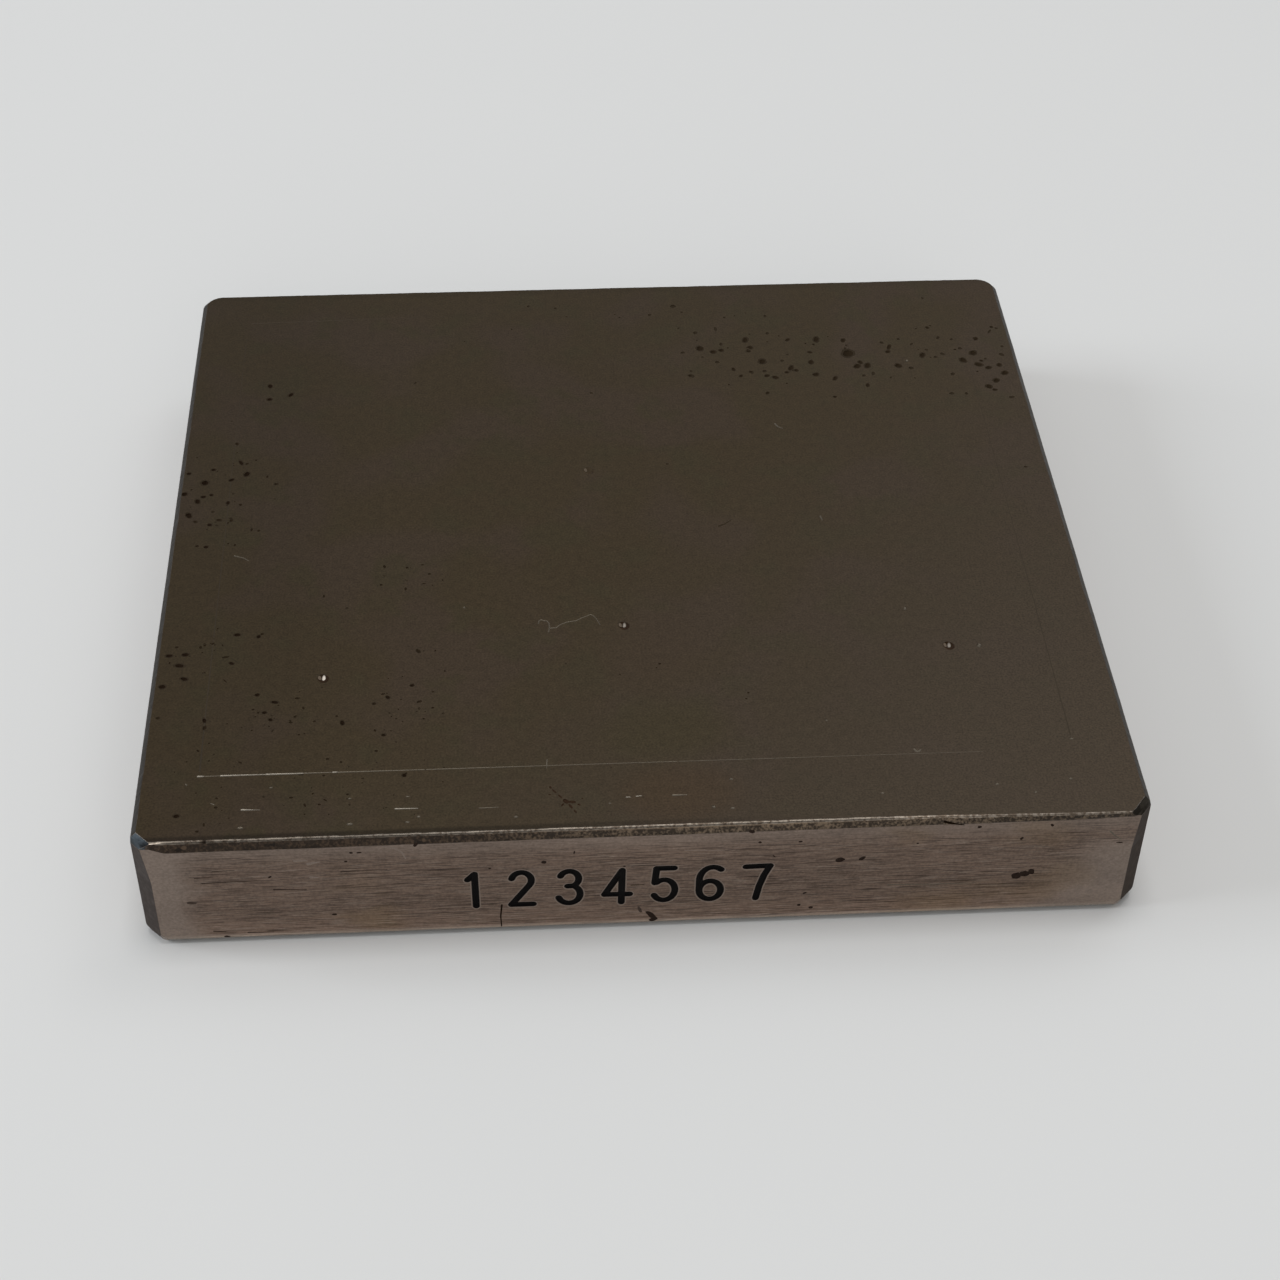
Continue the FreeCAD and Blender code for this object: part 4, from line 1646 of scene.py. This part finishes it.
@dataclass(frozen=True)
class Scratches:
    """The scribed frame and stray scratches of the test face, and the knocks of the front, in millimetres."""

    fleck_spread: Point = (1.2, 1.3)
    scribed: tuple[Groove, ...] = (
        Groove(((-22.35, -19.25), (-22.12, -19.25)), 0.14, 0.02, Finish.BRIGHT, 0.8),
        Groove(((-22.06, -19.25), (-21.26, -19.25)), 0.07, 0.012, Finish.DULL, 0.8),
        Groove(((-21.2, -19.25), (-19.0, -19.26)), 0.12, 0.02, Finish.BRIGHT, 0.6),
        Groove(((-18.94, -19.26), (-17.1, -19.27)), 0.12, 0.02, Finish.BRIGHT, 0.7),
        Groove(((-17.04, -19.27), (-15.65, -19.27)), 0.08, 0.012, Finish.DULL, 0.8),
        Groove(((-15.58, -19.27), (-15.4, -19.27)), 0.12, 0.02, Finish.BRIGHT, 0.8),
        Groove(((-15.34, -19.28), (-11.0, -19.3)), 0.08, 0.012, Finish.DULL, 0.7),
        Groove(((-10.9, -19.3), (1.8, -19.33)), 0.055, 0.008, Finish.DULL, 0.7),
        Groove(((1.9, -19.33), (17.5, -19.36)), 0.035, 0.006, Finish.DULL, 0.5),
        Groove(((-22.3, -18.9), (-22.35, -9.0)), 0.08, 0.008, Finish.TRACE, 0.6),
        Groove(((-22.35, -8.8), (-22.4, 19.0)), 0.05, 0.006, Finish.TRACE, 0.5),
        Groove(((22.2, -18.4), (22.25, 14.0)), 0.06, 0.006, Finish.TRACE, 0.4),
        Groove(((-22.2, 20.6), (-10.0, 20.9)), 0.06, 0.006, Finish.TRACE, 0.4),
    )
    dashes: tuple[Groove, ...] = (
        Groove(((-20.0, -21.68), (-19.1, -21.72)), 0.14, 0.02),
        Groove(((-12.4, -21.97), (-11.3, -21.99)), 0.11, 0.02, Finish.BRIGHT, 0.5),
        Groove(((-8.25, -22.12), (-7.3, -22.1)), 0.06, 0.012, Finish.DULL, 0.6),
        Groove(((-0.9, -21.72), (-0.7, -21.72)), 0.08, 0.016, Finish.BRIGHT, 0.5),
        Groove(((-0.4, -21.68), (-0.12, -21.66)), 0.08, 0.02, Finish.BRIGHT, 0.5),
        Groove(((1.45, -21.7), (2.15, -21.7)), 0.13, 0.016, Finish.DULL, 0.3),
        Groove(((9.65, 8.75), (9.8, 8.45), (10.05, 8.3)), 0.12, 0.012, Finish.DULL, 0.5),
        Groove(((11.35, -0.05), (11.42, -0.4)), 0.11, 0.012, Finish.DULL, 0.6),
        Groove(((-21.7, -2.05), (-21.2, -2.25), (-20.9, -2.5)), 0.1, 0.01, Finish.DULL, 0.5),
        Groove(((14.0, -19.05), (14.08, -19.2), (14.2, -19.22), (14.3, -19.1)), 0.12, 0.01, Finish.DULL, 0.8),
        Groove(((5.5, -0.68), (5.85, -0.5), (6.2, -0.2)), 0.13, 0.012, Finish.FAINT, 0.4),
        Groove(((-4.78, -18.9), (-4.82, -19.5)), 0.07, 0.008, Finish.DULL, 0.5),
    )
    curl: tuple[Groove, ...] = (
        Groove(((-4.95, -8.5), (-4.9, -8.25), (-4.75, -8.2), (-4.62, -8.3), (-4.48, -8.3), (-4.38, -8.5),
                (-4.36, -8.8), (-4.42, -9.2)), 0.07, 0.01, Finish.DULL, 1.0),
        Groove(((-4.3, -8.9), (-4.0, -8.88), (-3.75, -8.62), (-3.4, -8.45), (-2.9, -8.36), (-2.65, -8.18),
                (-2.3, -8.0), (-2.1, -7.88), (-1.95, -8.0), (-1.8, -8.25), (-1.7, -8.55), (-1.62, -8.75)),
               0.07, 0.01, Finish.DULL, 0.6),
    )
    stain: tuple[Pit, ...] = (
        Pit(-4.66, -20.86, 0.2, 0.13, 120), Pit(-4.48, -21.14, 0.36, 0.12, 125),
        Pit(-4.2, -21.52, 0.34, 0.11, 125), Pit(-3.92, -21.86, 0.42, 0.26, 135),
        Pit(-3.6, -21.92, 0.4, 0.2, 170), Pit(-3.28, -22.12, 0.2, 0.12, 150),
        Pit(-3.7, -22.22, 0.4, 0.15, 115), Pit(-3.48, -22.58, 0.24, 0.11, 120),
        Pit(-4.1, -22.1, 0.26, 0.12, 60), Pit(-4.72, -21.36, 0.16, 0.09), Pit(-3.1, -21.7, 0.12, 0.08),
    )
    flecks: tuple[Pit, ...] = (
        Pit(-20.0, -22.9, 0.26, 0.14), Pit(-14.65, -22.9, 0.26, 0.14), Pit(-11.25, -22.55, 0.16, 0.14),
        Pit(-11.8, -22.9, 0.2, 0.12), Pit(-6.45, -22.8, 0.18, 0.12), Pit(-14.7, -21.15, 0.16, 0.1),
        Pit(-11.8, -21.15, 0.2, 0.08), Pit(-21.5, -21.2, 0.26, 0.07, 150),
        Pit(-22.9, -19.8, 0.16, 0.07, 120), Pit(-8.95, -7.0, 0.15, 0.1, 90),
        Pit(15.05, -8.2, 0.22, 0.12, 100), Pit(18.62, -11.35, 0.3, 0.2, 80), Pit(3.4, -22.6, 0.17, 0.16),
        Pit(4.35, -22.72, 0.2, 0.13), Pit(4.45, -20.7, 0.17, 0.13), Pit(11.95, -22.05, 0.16, 0.1),
        Pit(17.8, -21.7, 0.17, 0.13), Pit(19.65, -22.35, 0.15, 0.12), Pit(21.6, -21.5, 0.16, 0.13),
        Pit(22.2, -18.65, 0.16, 0.11), Pit(9.75, -16.7, 0.12, 0.1), Pit(-1.75, -22.1, 0.12, 0.1),
        Pit(18.45, 14.85, 0.2, 0.16, 80), Pit(-18.65, -20.2, 0.16, 0.1),
    )
    knocks: tuple[Pit, ...] = (
        Pit(-5.12, 5.12, 0.28, 0.24), Pit(9.75, 4.5, 0.56, 0.36, 15), Pit(10.88, 4.55, 0.42, 0.24, 40),
        Pit(18.9, 2.82, 0.6, 0.5, 12), Pit(19.3, 2.95, 0.6, 0.46, 10), Pit(19.64, 3.1, 0.46, 0.36, 110),
        Pit(16.62, 6.55, 0.24, 0.18), Pit(20.28, 6.5, 0.24, 0.16, 130), Pit(5.22, 6.82, 0.34, 0.28, 150),
        Pit(5.65, 6.0, 0.2, 0.16), Pit(7.68, 5.95, 0.22, 0.14), Pit(23.9, 5.03, 0.36, 0.1),
        Pit(7.85, 1.2, 0.2, 0.18), Pit(8.48, 0.98, 0.26, 0.18), Pit(-22.75, 3.05, 0.55, 0.22, 175, True),
        Pit(-15.75, 1.8, 0.3, 0.16), Pit(-14.6, 6.3, 0.2, 0.15), Pit(-14.2, 6.3, 0.28, 0.13),
        Pit(-14.9, 5.7, 0.18, 0.12), Pit(-18.72, 4.75, 0.24, 0.13, 40), Pit(-21.28, 0.42, 0.34, 0.16),
        Pit(0.3, 0.82, 0.95, 0.34, 128), Pit(0.4, 0.52, 0.5, 0.32, 20),
        Pit(-0.3, 1.3, 0.6, 0.18, 110, True), Pit(8.1, 2.1, 0.24, 0.14, 20), Pit(-7.82, 4.8, 0.16, 0.12),
        Pit(18.85, 5.6, 0.24, 0.16, 60), Pit(13.6, 5.5, 0.14, 0.1), Pit(-11.4, 6.74, 0.36, 0.22, 60),
        Pit(-3.6, 5.75, 0.26, 0.09, 80), Pit(6.4, 4.95, 0.26, 0.08, 130), Pit(2.7, 3.9, 0.16, 0.12),
        Pit(-1.1, 4.6, 0.14, 0.1),
    )
    scrapes: tuple[Groove, ...] = (
        Groove(((-7.3, 2.05), (-7.38, 1.2), (-7.36, 0.42)), 0.09, 0.02, Finish.RUST, 0.7),
        Groove(((14.85, 6.95), (15.2, 6.86), (15.8, 6.74)), 0.15, 0.16, Finish.RUST, 0.4),
        Groove(((-21.9, 0.86), (-21.3, 0.78)), 0.08, 0.02, Finish.KNOCK, 0.5),
        Groove(((-20.2, 0.66), (-18.9, 0.62)), 0.07, 0.02, Finish.KNOCK, 0.4),
        Groove(((-13.0, 6.65), (-12.4, 6.5), (-12.1, 6.2), (-11.95, 5.75)), 0.12, 0.01, Finish.LIP, 0.6),
        Groove(((-23.9, 1.2), (-23.5, 1.08), (-23.1, 1.02)), 0.09, 0.012, Finish.LIP, 0.6),
        Groove(((23.3, 5.9), (23.6, 5.55), (23.9, 5.3)), 0.1, 0.012, Finish.DULL, 0.5),
        Groove(((-17.4, 5.85), (-16.8, 5.85)), 0.16, 0.01, Finish.LIP, 0.5),
        Groove(((-16.7, 4.62), (-16.35, 4.6)), 0.16, 0.01, Finish.LIP, 0.5),
        Groove(((-16.75, 5.6), (-16.2, 5.72)), 0.2, 0.01, Finish.LIP, 0.4),
        Groove(((12.3, 2.5), (14.2, 2.42), (16.9, 2.38)), 0.06, 0.01, Finish.DULL, 0.6),
        Groove(((-18.6, 3.82), (-17.0, 3.72)), 0.09, 0.012, Finish.KNOCK, 0.5),
        Groove(((-22.1, 4.46), (-19.3, 4.52)), 0.065, 0.012, Finish.KNOCK, 0.4),
        Groove(((-22.4, 4.86), (-21.5, 4.9)), 0.06, 0.012, Finish.KNOCK, 0.5),
        Groove(((-21.5, 5.3), (-20.4, 5.34)), 0.05, 0.01, Finish.FAINT, 0.5),
        Groove(((-15.2, 4.95), (-12.9, 5.0)), 0.06, 0.012, Finish.KNOCK, 0.5),
        Groove(((-0.75, 3.18), (-0.1, 3.2)), 0.07, 0.012, Finish.FAINT, 0.6),
        Groove(((1.9, 5.6), (3.9, 5.5)), 0.05, 0.008, Finish.LIP, 0.5),
    )

    def score(self, maker: MarkMaker) -> None:
        """Adds the scratches and knocks to the marks.

        Args:
            maker: The maker of marks.
        """
        for cut in (*self.scribed, *self.dashes, *self.curl):
            maker.groove(Side.TOP, cut)
        for pit in self.stain:
            maker.pit(Side.TOP, pit, Finish.STAIN)
        longer, broader = self.fleck_spread
        for fleck in self.flecks:
            wider = replace(fleck, long=fleck.long * longer, short=fleck.short * broader)
            maker.pit(Side.TOP, wider, Finish.DULL)
        for knock in self.knocks:
            if knock.faint:
                maker.pit(Side.FRONT, replace(knock, faint=False), Finish.SCUFF)
            else:
                maker.pit(Side.FRONT, knock, Finish.KNOCK)
        for cut in self.scrapes:
            maker.groove(Side.FRONT, cut)


@dataclass(frozen=True)
class PhotoView:
    """The photograph's camera, fitted to the block's edges. Angles are degrees and lengths metres."""

    azimuth: float = -3.859
    elevation: float = 42.191
    roll: float = 0.784
    distance: float = 0.131777
    target: tuple[float, float, float] = (0.00073, -0.006112, 0.0036)
    focal_pixels: float = 2355.0
    sensor: float = 36.0
    sees_from: float = 0.005
    sees_to: float = 20.0

    def place(self) -> None:
        """Adds the camera and makes it the scene's."""
        turn, rise, tilt = (math.radians(angle) for angle in (self.azimuth, self.elevation, self.roll))
        back = Vector((math.sin(turn) * math.cos(rise), -math.cos(turn) * math.cos(rise), math.sin(rise)))
        level = Vector((math.cos(turn), math.sin(turn), 0.0))
        upright = back.cross(level)
        right = math.cos(tilt) * level + math.sin(tilt) * upright
        up = math.cos(tilt) * upright - math.sin(tilt) * level
        spot = Vector(self.target) + back * self.distance
        deselect_all()
        bpy.ops.object.camera_add(location=spot)
        camera = bpy.context.object
        camera.rotation_mode = "QUATERNION"
        camera.rotation_quaternion = Matrix((right, up, back)).transposed().to_quaternion()
        camera.data.sensor_width = self.sensor
        camera.data.lens = self.focal_pixels / PHOTO_PIXELS * self.sensor
        camera.data.clip_start = self.sees_from
        camera.data.clip_end = self.sees_to
        bpy.context.scene.camera = camera


@dataclass(frozen=True)
class Lamp:
    """A soft square lamp that looks at the block: where it hangs, its side and power, and its colour."""

    name: str
    spot: tuple[float, float, float]
    side: float
    power: float
    colour: Colour = (1.0, 1.0, 1.0)

    def hang(self) -> None:
        """Adds the lamp."""
        deselect_all()
        bpy.ops.object.light_add(type="AREA", location=self.spot)
        lamp = bpy.context.object
        lamp.name = self.name
        lamp.rotation_mode = "QUATERNION"
        lamp.rotation_quaternion = Vector(self.spot).to_track_quat("Z", "Y")
        lamp.data.shape = "SQUARE"
        lamp.data.size = self.side
        lamp.data.energy = self.power
        lamp.data.color = self.colour


@dataclass(frozen=True)
class Studio:
    """A plain pale table under soft light."""

    table: Colour = (0.72, 0.72, 0.71)
    air: Colour = (0.35, 0.352, 0.355)
    lamps: tuple[Lamp, ...] = (
        Lamp("overhead", (0.0, 0.02, 0.9), 0.34, 2.6),
        Lamp("window", (-0.95, 0.05, 0.45), 0.5, 4.6, (0.88, 0.94, 1.0)),
        Lamp("front_fill", (0.1, -1.0, 0.5), 0.6, 2.0, (1.0, 0.97, 0.93)),
        Lamp("back_right", (0.38, 0.42, 0.82), 0.5, 0.9),
    )

    def set_up(self) -> None:
        """Lays the table, lights the air and hangs the lamps."""
        deselect_all()
        bpy.ops.mesh.primitive_plane_add(size=6.0)
        table = bpy.context.object
        table.name = "table"
        graph = Graph("table_top")
        cloud = graph.grain((60.0, 60.0, 60.0), 2.0)
        table.data.materials.append(
            graph.dress(Base_Color=graph.shade(self.table, 1.0 + (cloud - 0.5) * 0.03), Roughness=0.9)
        )
        world = bpy.data.worlds.new("air")
        world.use_nodes = True
        world.node_tree.nodes["Background"].inputs["Color"].default_value = (*self.air, 1.0)
        bpy.context.scene.world = world
        for lamp in self.lamps:
            lamp.hang()
        bpy.context.scene.view_settings.view_transform = "Standard"


@dataclass
class TestBlock:
    """The whole block: its form, its rims and all the marks cut into it."""

    low: Vector
    high: Vector
    indents: ConeIndents = field(default_factory=ConeIndents)
    figures: StampedRow = field(default_factory=StampedRow)
    pits: RustPits = field(default_factory=RustPits)
    scratches: Scratches = field(default_factory=Scratches)
    smooth_under: float = math.radians(40)

    def build(self) -> bpy.types.Object:
        """Models and dresses the block.

        Returns:
            The finished block.
        """
        shelf = FinishShelf()
        block = GroundBlock(self.low, self.high).build(shelf)
        log.info("block form: %d faces", len(block.data.polygons))
        maker = MarkMaker(shelf, self.low, self.high)
        self.indents.raise_rims(block, maker)
        self.indents.press(maker)
        self.figures.stamp(maker)
        self.pits.rust(maker)
        self.scratches.score(maker)
        log.info("marks to cut: %d", len(maker.cutters))
        carve(block, maker.join("marks"), "DIFFERENCE")
        self._shade(block)
        faces, finishes = len(block.data.polygons), len(block.data.materials)
        log.info("finished block: %d faces, %d materials", faces, finishes)
        return block

    def _shade(self, block: bpy.types.Object) -> None:
        """Shades the flats flat and the rounded edges and hollows smooth."""
        pick(block)
        bpy.ops.object.shade_smooth_by_angle(angle=self.smooth_under, keep_sharp_edges=False)
        flat = (Finish.LAPPED, Finish.FRONT, Finish.REAR, Finish.ENDS, Finish.UNDERSIDE, Finish.CORNER)
        flats = {finish.value for finish in flat}
        names = [material.name for material in block.data.materials]
        for face in block.data.polygons:
            if names[face.material_index] in flats:
                face.use_smooth = False


def main() -> None:
    """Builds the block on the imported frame, then the camera and the studio."""
    logging.basicConfig(level=logging.INFO, format="%(name)s: %(message)s")
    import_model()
    low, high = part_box(NODE)
    PhotoView().place()
    block = TestBlock(low, high).build()
    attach(block, BODY)
    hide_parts(NODE)
    Studio().set_up()


if __name__ == "__main__":
    main()
